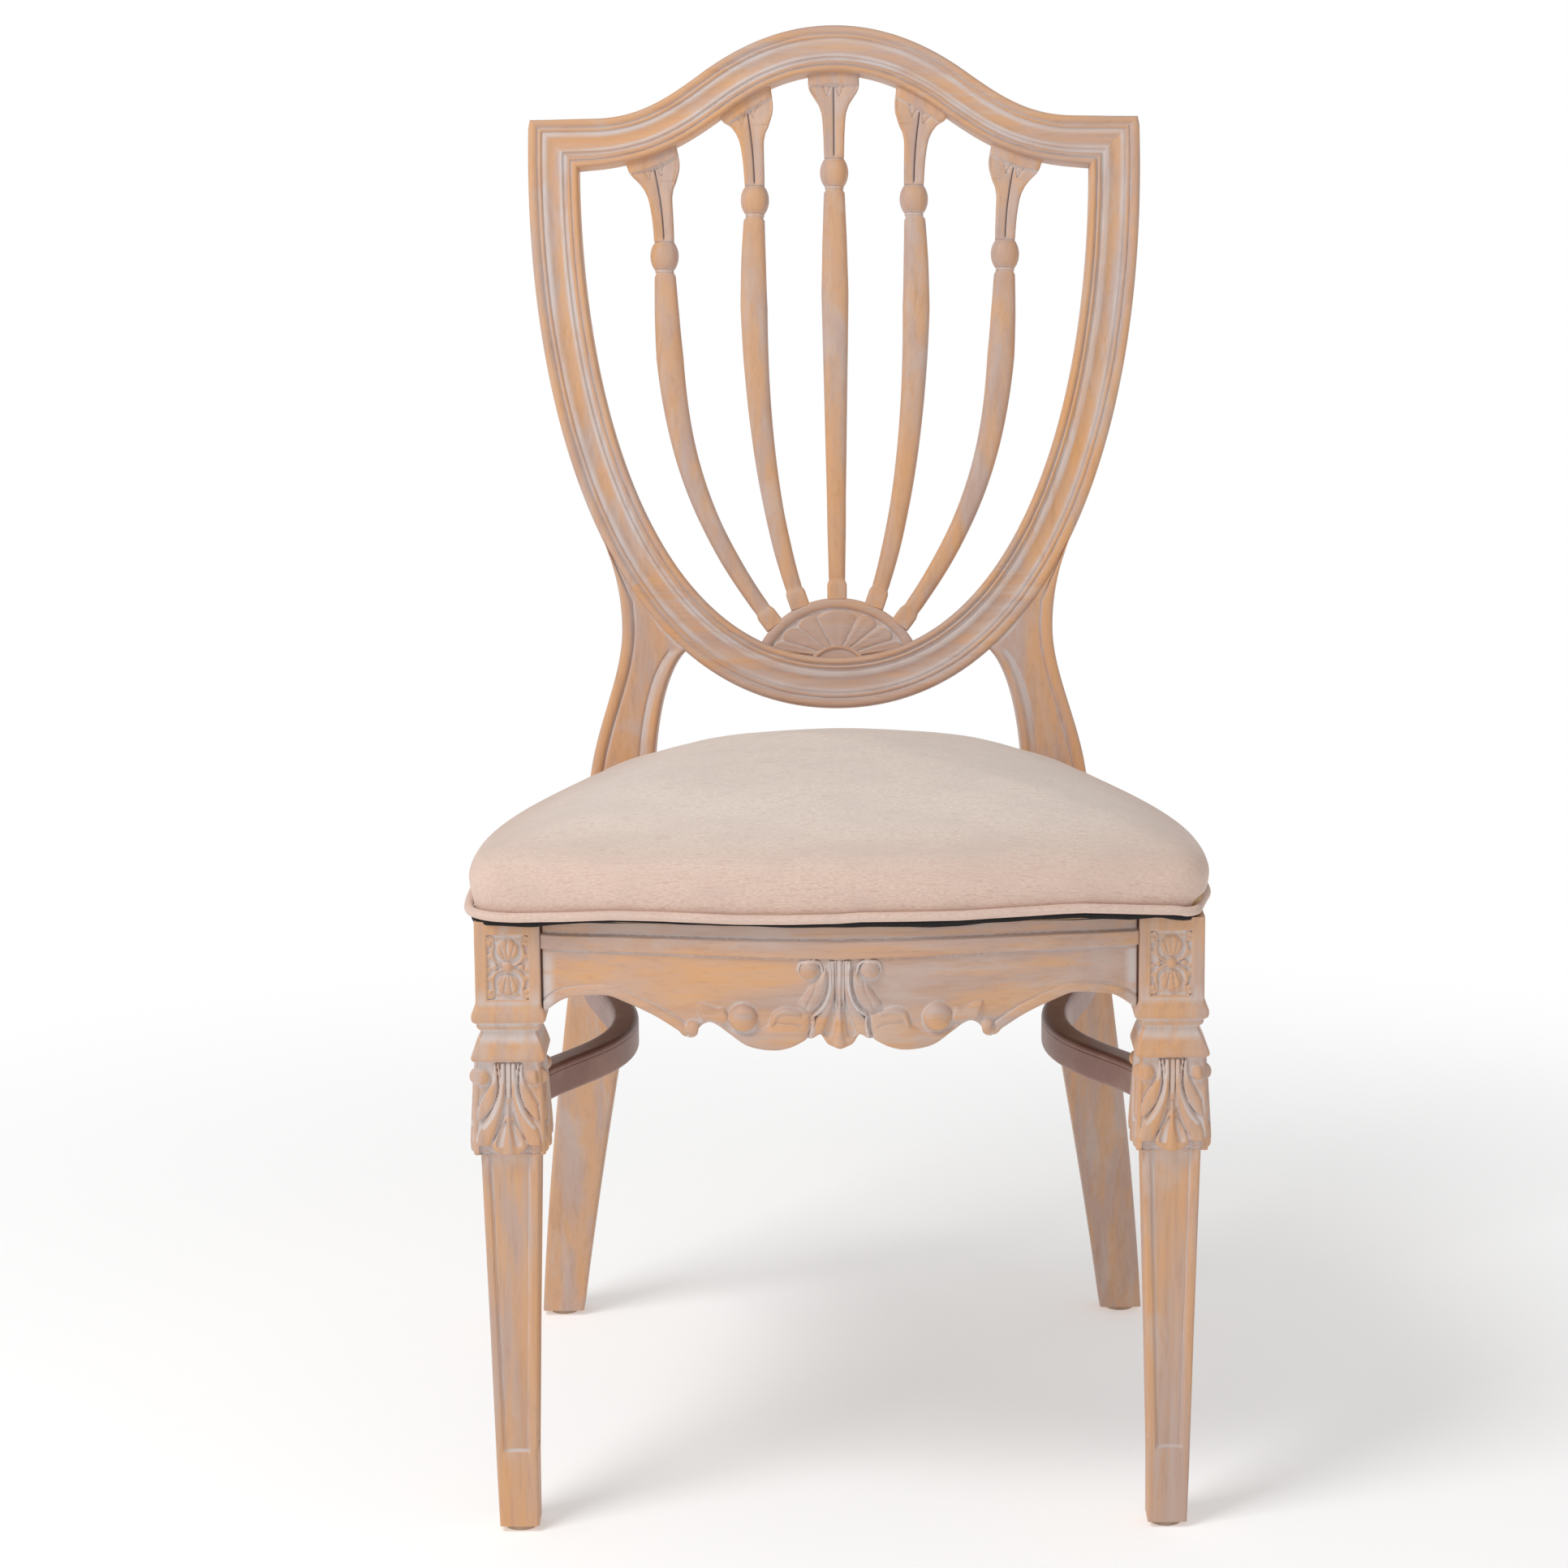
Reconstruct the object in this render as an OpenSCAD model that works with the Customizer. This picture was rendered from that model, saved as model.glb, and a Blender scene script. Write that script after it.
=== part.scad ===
// Shield-back dining chair in limewashed blond wood, with a piped linen seat.
// The floor is z = 0 and the chair faces -Y. The origin is the middle of its footprint's box.
// Left and right are as seen from the front.

/* [Seat frame] */
// Height of the rails' top above the floor
seat_h = 424; // [390:1:460]
// Width over the outer faces of the front legs
front_w = 482; // [440:1:520]
// Depth from the front legs' faces to the rear legs' faces, at the seat
seat_depth = 398; // [370:1:430]
// Height of the rails
rail_h = 58; // [52:1:66]
// Thickness of the side rails
rail_t = 22; // [18:1:26]
// Thickness of the back rail
back_rail_t = 34; // [30:1:38]
// How far the front apron bows out at its middle
apron_bow = 28; // [20:1:34]
// Deepest point of the apron below its top
apron_drop = 82; // [74:1:92]
// Thickness of the apron
apron_t = 24; // [20:1:28]

/* [Front legs] */
// Width and depth of the square block at the top
block_w = 44; // [40:1:48]
// Height of the collar under the block
collar_h = 17; // [14:1:20]
// Width of the collar over its astragal
collar_w = 51; // [49:1:54]
// Height of the flared neck under the collar
neck_h = 21; // [18:1:24]
// Height of the carved capital
capital_h = 61; // [54:1:66]
// Width of the capital
capital_w = 49; // [47:1:52]
// Width of the shaft just under the capital
shaft_top_w = 41; // [38:0.5:44]
// Width of the shaft at the foot
shaft_foot_w = 26.5; // [24:0.5:32]

/* [Rear legs] */
// Half the width over the rear legs at the seat
rear_half = 188; // [180:1:196]
// Width of a rear leg at the seat
rear_leg_w = 50; // [46:1:54]
// Half the width over the rear feet
rear_foot_half = 235; // [222:1:245]
// Width of a rear foot
rear_foot_w = 32; // [28:1:35]
// How far back the rear feet stand from the seat frame
rear_rake = 62; // [50:1:75]
// Depth of a rear leg at the seat, front to back
rear_leg_d = 42; // [38:1:46]
// Depth of a rear foot, front to back
rear_foot_d = 30; // [26:1:34]

/* [Shield back] */
// Angle of the back from upright
back_angle = 11; // [8:0.5:13]
// Thickness of the shield frame
shield_t = 26; // [23:1:30]
// Height of the shield's lowest point above the seat frame
shield_base = 70; // [66:1:76]
// Height from the shield's lowest point to its corners
shield_h = 445; // [425:1:465]
// Width across the corners of the shield
shield_w = 460; // [445:1:475]
// Rise of the crest above the corners
crest_rise = 69; // [60:1:78]
// Width of the frame along the sides and the bottom
stile_w = 38; // [36:1:42]
// Width of the crest rail
crest_w = 37.5; // [35:0.5:41]
// Depth of the sunk field between the frame's beads
field_sink = 2.5; // [1:0.5:4]

/* [Splats] */
// Thickness of the splats
splat_t = 14; // [12:1:17]
// Greatest width of a splat's shaft
splat_w = 20.5; // [17:0.5:22]
// Width of a splat's carved head
splat_head_w = 38.5; // [34:0.5:42]
// Height of a splat's head above its bulb
splat_head_h = 76; // [68:1:82]
// Diameter of the bulb under the head
bulb_d = 22; // [21:0.5:24]
// Distance of the inner splats' bulbs from the middle
inner_splat_x = 60; // [56:1:64]
// Distance of the outer splats' bulbs from the middle
outer_splat_x = 128.5; // [123:0.5:133]
// Radius of the lunette that the splats rise from
lunette_r = 66; // [62:1:69]
// Thickness of the lunette
lunette_t = 15; // [12:1:18]

/* [Stretchers] */
// Distance from the rails' underside down to the bowed stretchers' top
brace_drop = 62; // [52:1:68]
// Height of a stretcher's section
brace_h = 23; // [20:1:26]
// Width of a stretcher's section
brace_w = 19; // [16:1:21]
// Distance of a stretcher's bow from the middle of the chair
brace_bow_x = 153.5; // [146:0.5:160]

/* [Upholstery] */
// Thickness of the seat board
board_t = 12; // [9:1:15]
// Height of the cushion's crown above the board
crown_h = 64; // [54:1:72]
// Height of the cushion's fullest line above the board
fullest_h = 13; // [10:1:16]
// How far the seat overhangs the front legs and the apron
overhang = 1; // [0.5:0.5:3]
// Thickness of the cover's fabric
cover_t = 1.2; // [0.8:0.1:1.8]
// Diameter of the piping
piping_d = 6.5; // [5:0.5:8]

/* [Hidden] */

// Steps along one curve, and facets of a full circle
steps = 14;
$fn = 48;

// Clearances
glue_gap = 0.1;      // between two glued faces
soft_gap = 0.3;      // round the foam and under the cover
overrun = 60;        // how far a cutting tool passes the stock
nick = 0.01;         // points of a curve closer than this are the same point

// Small parts
glide_d = 21;
glide_h = 4;
nail_d = 3;
nail_l = 18;
nail_head_d = 8;
nail_head_h = 1.2;
dowel_d = 8;
dowel_l = 28;
tenon_t = 10;
tenon_l = 22;
tenon_margin = 9;
block_l = 62;
block_h = 40;
block_low = 2;       // the corner blocks lie this far under the rails' top
screw_d = 4;
screw_head_d = 8;
screw_head_h = 3;
seat_screw_l = 48;
block_screw_l = 34;
screw_cover = 3;     // wood left over the seat screws' tips
dust_t = 0.8;
dust_inset = 4;

// Heights of the front leg's parts, from the top of the block down
block_z = seat_h - rail_h;
brace_z = block_z - brace_drop - brace_h;
collar_z = block_z - collar_h;
neck_z = collar_z - neck_h;
capital_z = neck_z - capital_h;

// Heights of the upholstery, from the rails up
dust_z = seat_h + glue_gap;
hem_z = dust_z + dust_t + glue_gap;
board_z = hem_z + cover_t + glue_gap;

// Plan of the seat frame. Until the last move, y = 0 is the front legs' face
front_half = front_w / 2;
leg_x = front_half - block_w / 2;
apron_half = front_half - block_w;
apron_set = 4;                                   // the apron's ends lie behind the legs' faces
apron_r = (apron_half * apron_half + apron_bow * apron_bow) / (2 * apron_bow);
apron_cy = apron_set - apron_bow + apron_r;
rear_inner_half = rear_half - rear_leg_w;
board_over = overhang - cover_t;                 // how far the board passes the frame
seat_half = front_half + board_over;
seat_front_y = apron_set - apron_bow - board_over;

// The tilted plane of the back: local x across, local y up the slope, local z to the front
shield_half = shield_w / 2;
corner_y = shield_base + shield_h;
crest_y = corner_y + crest_rise;

// The chair's box, front to back, which centres it on the origin
piping_r = piping_d / 2;
piping_set = 2 * soft_gap + cover_t;             // the piping's inner side from the board's edge
front_y = seat_front_y - piping_set - piping_d;
back_y = seat_depth + crest_y * sin(back_angle) + shield_t * cos(back_angle);
centre_y = (front_y + back_y) / 2;

// Points and curves

// Point at t of the cubic curve with control points p, and its direction there
function curve_point(p, t) =
    pow(1 - t, 3) * p[0] + 3 * t * pow(1 - t, 2) * p[1] + 3 * t * t * (1 - t) * p[2] + pow(t, 3) * p[3];
function curve_slope(p, t) =
    pow(1 - t, 2) * (p[1] - p[0]) + 2 * t * (1 - t) * (p[2] - p[1]) + t * t * (p[3] - p[2]);
// Unit vector to the right of the direction v
function right_of(v) = [v.y, -v.x] / norm(v);
// Points along the curve, moved to its right by d
function curve(p, d = 0, n = steps) =
    [for (i = [0:n]) curve_point(p, i / n) + d * right_of(curve_slope(p, i / n))];
function reversed(points) = [for (i = [len(points) - 1:-1:0]) points[i]];
function mirrored(points) = [for (p = points) [-p.x, p.y]];
function scaled(points, size) = [for (p = points) [p.x * size.x, p.y * size.y]];
// Smooth line through the points, which passes through each one
function smooth_point(a, b, c, d, t) =
    ((2 * b) + (c - a) * t + (2 * a - 5 * b + 4 * c - d) * t * t + (3 * b - a - 3 * c + d) * t * t * t) / 2;
function smooth(p, n = 4) = let (last = len(p) - 1)
    [for (i = [0:last - 1], k = [0:n - (i == last - 1 ? 0 : 1)])
        smooth_point(p[max(i - 1, 0)], p[i], p[i + 1], p[min(i + 2, last)], k / n)];

// Outline of the shield, right half, from the middle of the crest to the corner and down to the base.
// Shares are of half the width across, and of the rise or of the height.
dome_share = [[0, 1], [0.135, 1], [0.278, 0.86], [0.428, 0.5]];
sweep_share = [[0.428, 0.5], [0.537, 0.238], [0.634, 0], [0.787, 0]];
side_share = [[1, 1], [1.031, 0.436], [0.682, 0], [0, 0]];
function on_crest(share) = [for (s = share) [s.x * shield_half, corner_y + s.y * crest_rise]];
side_curve = [for (s = side_share) [s.x * shield_half, shield_base + s.y * shield_h]];
side_steps = 24;
joint_step = 14;      // the stiles meet the bow at this point of the side
function side_line(d) = curve(side_curve, d, side_steps);

// The crest's line moved down by d, up to its straight end
function crest_line(d) = concat(
    curve(on_crest(dome_share), d),
    [for (p = curve(on_crest(sweep_share), d)) if (p.x > curve(on_crest(dome_share), d)[steps].x + nick) p]);
// Point on the mitre at the share f of the frame's width
inner_corner = [lookup(corner_y - crest_w, [for (p = side_line(stile_w)) [p.y, p.x]]), corner_y - crest_w];
outer_corner = [shield_half, corner_y];
function mitre(f) = outer_corner + f * (inner_corner - outer_corner);

// Lines at the share f of the frame's width, on the right half
function crest_at(f) = concat([for (p = crest_line(f * crest_w)) if (p.x < mitre(f).x - nick) p], [mitre(f)]);
function side_at(f, from, to) = let (line = side_line(f * stile_w))
    concat(from == 0 ? [mitre(f)] : [], [for (i = [from:to]) if (line[i].y < mitre(f).y - nick) line[i]]);
function across(line) = concat(line, reversed(mirrored([for (p = line) if (p.x > nick) p])));

// Bands of the frame between two shares of its width
module crest_band(f, g) polygon(concat(across_crest(f), reversed(across_crest(g))));
function across_crest(f) = let (line = crest_at(f))
    concat(reversed(mirrored([for (p = line) if (p.x > nick) p])), line);
module stile_band(f, g) polygon(concat(side_at(f, 0, joint_step), reversed(side_at(g, 0, joint_step))));
module bow_band(f, g)
    polygon(concat(across(side_at(f, joint_step, side_steps)),
        reversed(across(side_at(g, joint_step, side_steps)))));

// The sunk field runs between these shares of the frame's width
field_share = [0.28, 0.72];

// Everything on or inside the shield's outer line moved out by d
module shield_region(d) polygon(across(concat([[0, crest_y]], side_line(-d))));

// Moves from the tilted plane of the back to the chair
module on_back() translate([0, seat_depth, seat_h]) rotate([90 - back_angle, 0, 0]) children();
// Point of the back's plane at height y up the slope, as seen from the front
function front_view(p) = [p.x, seat_h + p.y * cos(back_angle)];
// Stock of the back, t thick, its face sunk by s
module back_stock(t, s = 0) on_back() translate([0, 0, -t - s]) linear_extrude(t) children();
// A cut t deep into a face sunk by s, from well in front of it
module back_cut(t, s = 0) on_back() translate([0, 0, -t - s]) linear_extrude(t + s + overrun) children();

module both_sides() {
    children();
    mirror([1, 0, 0]) children();
}

// Frame pieces of the shield

module shield_joint_dowels(gap) {
    on_back() both_sides() {
        // across the mitre
        translate(concat(mitre(0.5), [-shield_t / 2])) rotate([0, 0, 45]) rotate([90, 0, 0])
            translate([0, 0, -dowel_l / 2 - gap]) cylinder(d = dowel_d + 2 * gap, h = dowel_l + 2 * gap);
        // along the side, where the stile meets the bow
        translate(concat(side_line(stile_w / 2)[joint_step], [-shield_t / 2])) joint_turn()
            translate([0, 0, -dowel_l / 2 - gap]) cylinder(d = dowel_d + 2 * gap, h = dowel_l + 2 * gap);
        // from the post into the bow
        for (share = post_dowel_share)
            translate(concat(side_line(0)[round(share * side_steps)], [-shield_t / 2]))
                side_turn(round(share * side_steps))
                translate([0, 0, -dowel_l / 2 - gap]) cylinder(d = dowel_d + 2 * gap, h = dowel_l + 2 * gap);
    }
}
// The post's two dowels stand at these shares of the side's steps
post_dowel_share = [0.625, 0.67];
// Turns the Z axis along the side's line, or square to it
module joint_turn() let (v = curve_slope(side_curve, joint_step / side_steps))
    rotate([0, 0, atan2(v.y, v.x)]) rotate([0, 90, 0]) children();
module side_turn(i) let (v = right_of(curve_slope(side_curve, i / side_steps)))
    rotate([0, 0, atan2(v.y, v.x)]) rotate([0, 90, 0]) children();

module crest_rail() color("burlywood") difference() {
    back_stock(shield_t) crest_band(0, 1);
    back_cut(field_sink) crest_band(field_share[0], field_share[1]);
    shield_joint_dowels(glue_gap);
    splat_tenons(glue_gap);
}
module shield_stile() color("burlywood") difference() {
    back_stock(shield_t) stile_band(0, 1);
    back_cut(field_sink) stile_band(field_share[0], field_share[1]);
    shield_joint_dowels(glue_gap);
}
module shield_stile_left() mirror([1, 0, 0]) shield_stile();
module shield_stile_right() shield_stile();
module shield_bow() color("burlywood") difference() {
    back_stock(shield_t) bow_band(0, 1);
    back_cut(field_sink) bow_band(field_share[0], field_share[1]);
    shield_joint_dowels(glue_gap);
}

module shield_dowels() color("wheat") shield_joint_dowels(0);

// Lunette

lunette_rise = 44;                    // its top above the bow's inner line
lunette_top = shield_base + stile_w + lunette_rise;
lunette_centre = lunette_top - lunette_r;
lunette_sink = 5;                     // its face lies behind the shield's face
lunette_rim = 7;
petal_sink = 2;
petals = 7;
hub_r = 15;
module above_bow() difference() {
    children();
    polygon(concat(
        [for (p = across(side_line(stile_w + glue_gap))) p],
        [[-shield_half, corner_y], [-shield_half, 0], [shield_half, 0], [shield_half, corner_y]]));
}
module lunette() color("burlywood") difference() {
    back_stock(lunette_t, lunette_sink) above_bow() translate([0, lunette_centre]) circle(lunette_r);
    // the fan's ground, sunk behind the rim, with the petals left standing
    back_cut(petal_sink, lunette_sink) difference() {
        above_bow() translate([0, lunette_centre]) circle(lunette_r - lunette_rim);
        translate([0, shield_base + stile_w]) circle(hub_r);
        for (k = [0:petals - 1])
            translate([0, shield_base + stile_w]) rotate(180 * (k + 0.5) / petals) petal();
    }
    splat_tenons(glue_gap);
}
petal_w = 10.5;
petal_l = 23;
module petal() translate([0.85 * hub_r, 0]) polygon([
    [0, -petal_w / 6], [petal_l * 0.6, -petal_w / 2], [petal_l, -petal_w / 3],
    [petal_l, petal_w / 3], [petal_l * 0.6, petal_w / 2], [0, petal_w / 6]]);

// Splats: a carved head under the crest, a bulb, and a bent shaft that tapers to the lunette

splat_sink = (shield_t - splat_t) / 2;
// Drop of the bulbs below the crest's inner line at their x, the head's height
crest_edge = crest_line(crest_w);
function crest_edge_y(x) = lookup(x, [for (p = crest_edge) [p.x, p.y]]);
// For the centre, inner and outer splats: the bulb's x, the foot's angle on the lunette, the head's lean
function bulb_x(k) = [0, inner_splat_x, outer_splat_x][k];
foot_angle = [90, 65, 44];
lean_share = [0, 0.09, 0.13];
// Handles of the shaft's line: across as a share of the bulb's x, up as a share of the shaft's height
upper_handle_share = [[0, 0.6], [1.08, 0.65], [0.975, 0.6]];
lower_handle_share = [[0, 0.3], [0.96, 0.27], [0.945, 0.35]];
// Width of the shaft along its length, as a share of its greatest width
shaft_share = [[0, 0.72], [0.14, 0.91], [0.25, 1], [0.35, 0.94], [0.44, 0.88], [0.54, 0.82],
    [0.64, 0.765], [0.73, 0.71], [0.83, 0.68], [0.92, 0.62], [1, 0.6]];
// Half the width of the head against its height, in shares
head_share = [[0, 0.195], [0.14, 0.195], [0.375, 0.208], [0.55, 0.231], [0.61, 0.247], [0.69, 0.3],
    [0.77, 0.4], [0.82, 0.47], [0.89, 0.5], [1.2, 0.5]];
// The head bends outwards more and more towards its top
lean_bend = 2.2;
foot_collar_w = 14.6;
foot_collar_l = 14;
foot_collar_bevel = 3;

function bulb_y(k) = crest_edge_y(bulb_x(k) + lean_share[k] * splat_head_h) - splat_head_h;
function foot_point(k) = [0, lunette_centre]
    + (lunette_r + foot_gap) * [cos(foot_angle[k]), sin(foot_angle[k])];
foot_gap = glue_gap;
function splat_curve(k) = let (b = [bulb_x(k), bulb_y(k)], f = foot_point(k), h = b.y - f.y) [
    b,
    [b.x * upper_handle_share[k].x, f.y + h * upper_handle_share[k].y],
    [b.x * lower_handle_share[k].x, f.y + h * lower_handle_share[k].y],
    f];
function shaft_side(k, side) = [for (i = [0:steps]) let (t = i / steps)
    curve_point(splat_curve(k), t)
        + side * lookup(t, shaft_share) * splat_w / 2 * right_of(curve_slope(splat_curve(k), t))];
function head_side(k, side) = [for (s = head_share)
    [side * s.y * splat_head_w + lean_share[k] * pow(s.x, lean_bend) * splat_head_h, s.x * splat_head_h]];
module splat_outline(k) {
    polygon(concat(shaft_side(k, 1), reversed(shaft_side(k, -1))));
    // head, leaning outwards under the crest
    translate([bulb_x(k), bulb_y(k)]) polygon(concat(head_side(k, 1), reversed(head_side(k, -1))));
}
module foot_collar(k) let (v = curve_slope(splat_curve(k), 1), half = foot_collar_w / 2)
    translate(foot_point(k)) rotate(atan2(v.y, v.x)) polygon([
        [-foot_collar_l, half - foot_collar_bevel], [foot_collar_bevel - foot_collar_l, half],
        [lunette_rim, half], [lunette_rim, -half],
        [foot_collar_bevel - foot_collar_l, -half], [-foot_collar_l, foot_collar_bevel - half]]);
// Tenons at both ends of a splat, enlarged by gap
splat_tenon_w = 9;
splat_tenon_t = 6;
splat_tenon_l = 12;
module splat_tenon_pair(k, gap) {
    head_x = bulb_x(k) + lean_share[k] * splat_head_h;
    place = [head_x, crest_edge_y(head_x)];
    back_stock(splat_tenon_t + 2 * gap, shield_t / 2 - splat_tenon_t / 2 - gap) {
        translate([place.x - splat_tenon_w / 2 - gap, place.y - splat_tenon_l])
            square([splat_tenon_w + 2 * gap, 2 * splat_tenon_l + gap]);
        translate(foot_point(k)) rotate(foot_angle[k])
            translate([-splat_tenon_l - gap, -splat_tenon_w / 2 - gap])
            square([2 * splat_tenon_l + gap, splat_tenon_w + 2 * gap]);
    }
}
module splat_tenons(gap) both_sides() for (k = [0:2]) splat_tenon_pair(k, gap);
module splat(k) color("burlywood") {
    difference() {
        union() {
            back_stock(splat_t, splat_sink) splat_outline(k);
            back_stock(splat_t, splat_sink) foot_collar(k);
            on_back() translate([bulb_x(k), bulb_y(k), -shield_t / 2]) sphere(d = bulb_d);
        }
        back_stock(shield_t) translate([0, glue_gap]) crest_over();
        on_back() translate([0, lunette_centre, -shield_t])
            cylinder(r = lunette_r + glue_gap, h = 2 * shield_t);
    }
    splat_tenon_pair(k, 0);
}
// Everything above the crest's inner line
module crest_over() polygon(concat(
    reversed(mirrored([for (p = crest_edge) if (p.x > nick) [p.x, p.y - 2 * glue_gap]])),
    [for (p = crest_edge) [p.x, p.y - 2 * glue_gap]],
    [[shield_half, crest_y + crest_rise], [-shield_half, crest_y + crest_rise]]));
module spindle_centre() splat(0);
module spindle_inner_right() splat(1);
module spindle_outer_right() splat(2);
module spindle_inner_left() mirror([1, 0, 0]) splat(1);
module spindle_outer_left() mirror([1, 0, 0]) splat(2);

// Rear legs: one piece each, from the floor to the shield

// Above the seat the post draws in to a waist and spreads again to follow the shield
waist_half = 162;
waist_y = 130;
post_top_half = 197;
post_top_y = 221;
post_end_y = 206;
notch_y = 115;
notch = [lookup(notch_y, [for (p = side_line(0)) [p.y, p.x]]), notch_y];
rear_foot_inner = rear_foot_half - rear_foot_w;

// Front view of the right leg: lines of the outer and the inner side
function between(a, b, share) = a + share * (b - a);
leg_outer = curve([
    [rear_foot_half, glide_h],
    [between(rear_half, rear_foot_half, 0.72), 0.47 * seat_h],
    [between(rear_half, rear_foot_half, 0.085), 0.87 * seat_h],
    [rear_half, seat_h]]);
post_outer = concat(
    curve([[rear_half, 0], [rear_half, 0.38 * waist_y], [waist_half, 0.69 * waist_y], [waist_half, waist_y]]),
    [for (p = curve([
        [waist_half, waist_y],
        [waist_half, between(waist_y, post_top_y, 0.37)],
        [between(waist_half, post_top_half, 0.31), between(waist_y, post_top_y, 0.84)],
        [post_top_half, post_top_y]])) if (p.y > waist_y + nick && p.y < post_end_y) p]);
post_inner = curve([
    [rear_inner_half, 0],
    [rear_inner_half, 0.48 * notch_y],
    [between(notch.x, rear_inner_half, 0.64), 0.86 * notch_y],
    notch]);
leg_inner = curve([
    [rear_foot_inner, glide_h],
    [between(rear_inner_half, rear_foot_inner, 0.58), 0.47 * seat_h],
    [between(rear_inner_half, rear_foot_inner, 0.04), 0.83 * seat_h],
    [rear_inner_half, seat_h]]);
function seen_from_front(points) = [for (p = points) front_view(p)];
leg_front_view = concat(
    leg_outer,
    seen_from_front([for (p = post_outer) if (p.y > nick) p]),
    seen_from_front([[notch.x, post_end_y]]),
    seen_from_front(reversed([for (p = post_inner) if (p.y > nick) p])),
    reversed(leg_inner));

// Side view: raked below the seat, and in line with the shield above it
post_end = [seat_depth + post_end_y * sin(back_angle), seat_h + post_end_y * cos(back_angle)];
post_end_back = post_end + shield_t * [cos(back_angle), -sin(back_angle)];
leg_front_face = curve([
    [seat_depth, seat_h],
    [seat_depth - 0.08 * rear_rake, 0.93 * seat_h],
    [seat_depth + 0.5 * rear_rake, 0.36 * seat_h],
    [seat_depth + rear_rake, glide_h]]);
leg_side_view = concat(
    reversed(leg_front_face),
    [post_end, post_end_back],
    [for (p = curve([
        post_end_back,
        [between(seat_depth + rear_leg_d, post_end.x + shield_t, 0.27), between(seat_h, post_end.y, 0.55)],
        [seat_depth + rear_leg_d, between(seat_h, post_end.y, 0.35)],
        [seat_depth + rear_leg_d, seat_h]])) if (p.y < post_end_back.y - nick) p],
    [for (p = curve([
        [seat_depth + rear_leg_d, seat_h],
        [seat_depth + rear_leg_d, 0.76 * seat_h],
        [seat_depth + between(rear_leg_d, rear_rake + rear_foot_d, 0.45), 0.35 * seat_h],
        [seat_depth + rear_rake + rear_foot_d, glide_h]])) if (p.y < seat_h - nick) p]);

module rear_leg_stock() intersection() {
    face_stock(2 * seat_depth) polygon(leg_front_view);
    rotate([90, 0, 90]) linear_extrude(front_w) polygon(leg_side_view);
}
module rear_leg() color("burlywood") difference() {
    rear_leg_stock();
    back_stock(3 * shield_t, -shield_t) shield_region(glue_gap);
    shield_joint_dowels(glue_gap);
    side_rail_tenons(glue_gap);
    back_rail_tenons(glue_gap);
    brace_dowels_all(glue_gap);
    nails(glue_gap);
}
module rear_leg_right() rear_leg();
module rear_leg_left() mirror([1, 0, 0]) rear_leg();

// Front legs

// Half the width against the height, from the top down to the capital's foot
collar_half = collar_w / 2;
capital_half = capital_w / 2;
block_half = block_w / 2;
astragal_h = 0.55 * collar_h;
astragal_r = astragal_h / 2;
neck_inset = 1;
neck_half = block_half - 1.5 * neck_inset;
capital_waist = 1.5;
leg_profile = concat(
    [[block_half, seat_h], [block_half, block_z]],
    [for (i = [0:6]) let (a = 90 - i * 30)
        [collar_half - astragal_r + astragal_r * cos(a), block_z - astragal_r + astragal_r * sin(a)]],
    [[collar_half - astragal_r / 3, block_z - astragal_h - neck_inset],
     [block_half, collar_z + neck_inset],
     [block_half, collar_z],
     [neck_half, collar_z]],
    curve([
        [neck_half, between(collar_z, neck_z, 0.25)],
        [neck_half, between(collar_z, neck_z, 0.65)],
        [capital_half, between(collar_z, neck_z, 0.45)],
        [capital_half, between(collar_z, neck_z, 0.85)]], 0, 6),
    [[capital_half, neck_z + neck_inset / 2], [block_half, neck_z + neck_inset / 2], [block_half, neck_z],
     [capital_half - capital_waist, neck_z],
     [capital_half, between(neck_z, capital_z, 0.4)],
     [capital_half - capital_waist / 2, between(neck_z, capital_z, 0.75)],
     [capital_half, capital_z]]);
shaft_top = shaft_top_w / 2;
shaft_foot = shaft_foot_w / 2;
face_set = block_half - shaft_top;          // the shaft's front face lies this far behind the block's
leg_across = concat(leg_profile, [[shaft_top, capital_z], [shaft_foot, glide_h]]);
module leg_across_view() polygon(concat(leg_across, reversed(mirrored(leg_across))));
// Side view: the shaft's front face is upright, and its back face tapers
module leg_depth_view() polygon(concat(
    [for (p = leg_profile) [block_half + p.x, p.y]],
    [[block_half + shaft_top, capital_z], [face_set + shaft_foot_w, glide_h],
     [face_set, glide_h], [face_set, capital_z]],
    reversed([for (p = leg_profile) [block_half - p.x, p.y]])));
// Moves from the leg's own middle line to the right leg's place
module at_front_leg() translate([leg_x, 0, 0]) children();
// Stock t thick behind the plane y = s, drawn as seen from the front
module face_stock(t, s = 0) translate([0, s + t, 0]) rotate([90, 0, 0]) linear_extrude(t) children();

panel_sink = 1.2;
panel_margin = 7.5;
panel_end = 52;
module shaft_panel() {
    top_half = shaft_top - panel_margin;
    foot_half = between(shaft_foot, shaft_top, panel_end / capital_z) - 0.75 * panel_margin;
    polygon([[-top_half, capital_z], [top_half, capital_z],
        [foot_half, glide_h + panel_end], [-foot_half, glide_h + panel_end]]);
}
flower_w = 26;
flower_h = 43;
flower_low = 2;                             // below the middle of the block
flower_z = (seat_h + block_z) / 2 - flower_low;
flower_sink = 2;
flower_ball = 8;
flower_petals = 8;
module flower_panel() difference() {
    translate([-flower_w / 2, flower_z - flower_h / 2]) square([flower_w, flower_h]);
    for (k = [0:flower_petals - 1])
        translate([0, flower_z]) rotate(90 + 360 * k / flower_petals) translate([flower_ball / 2, 0])
        polygon(scaled(petal_outline_share, [petal_reach(k) - flower_ball / 2, flower_w / 4.4]));
}
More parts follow.
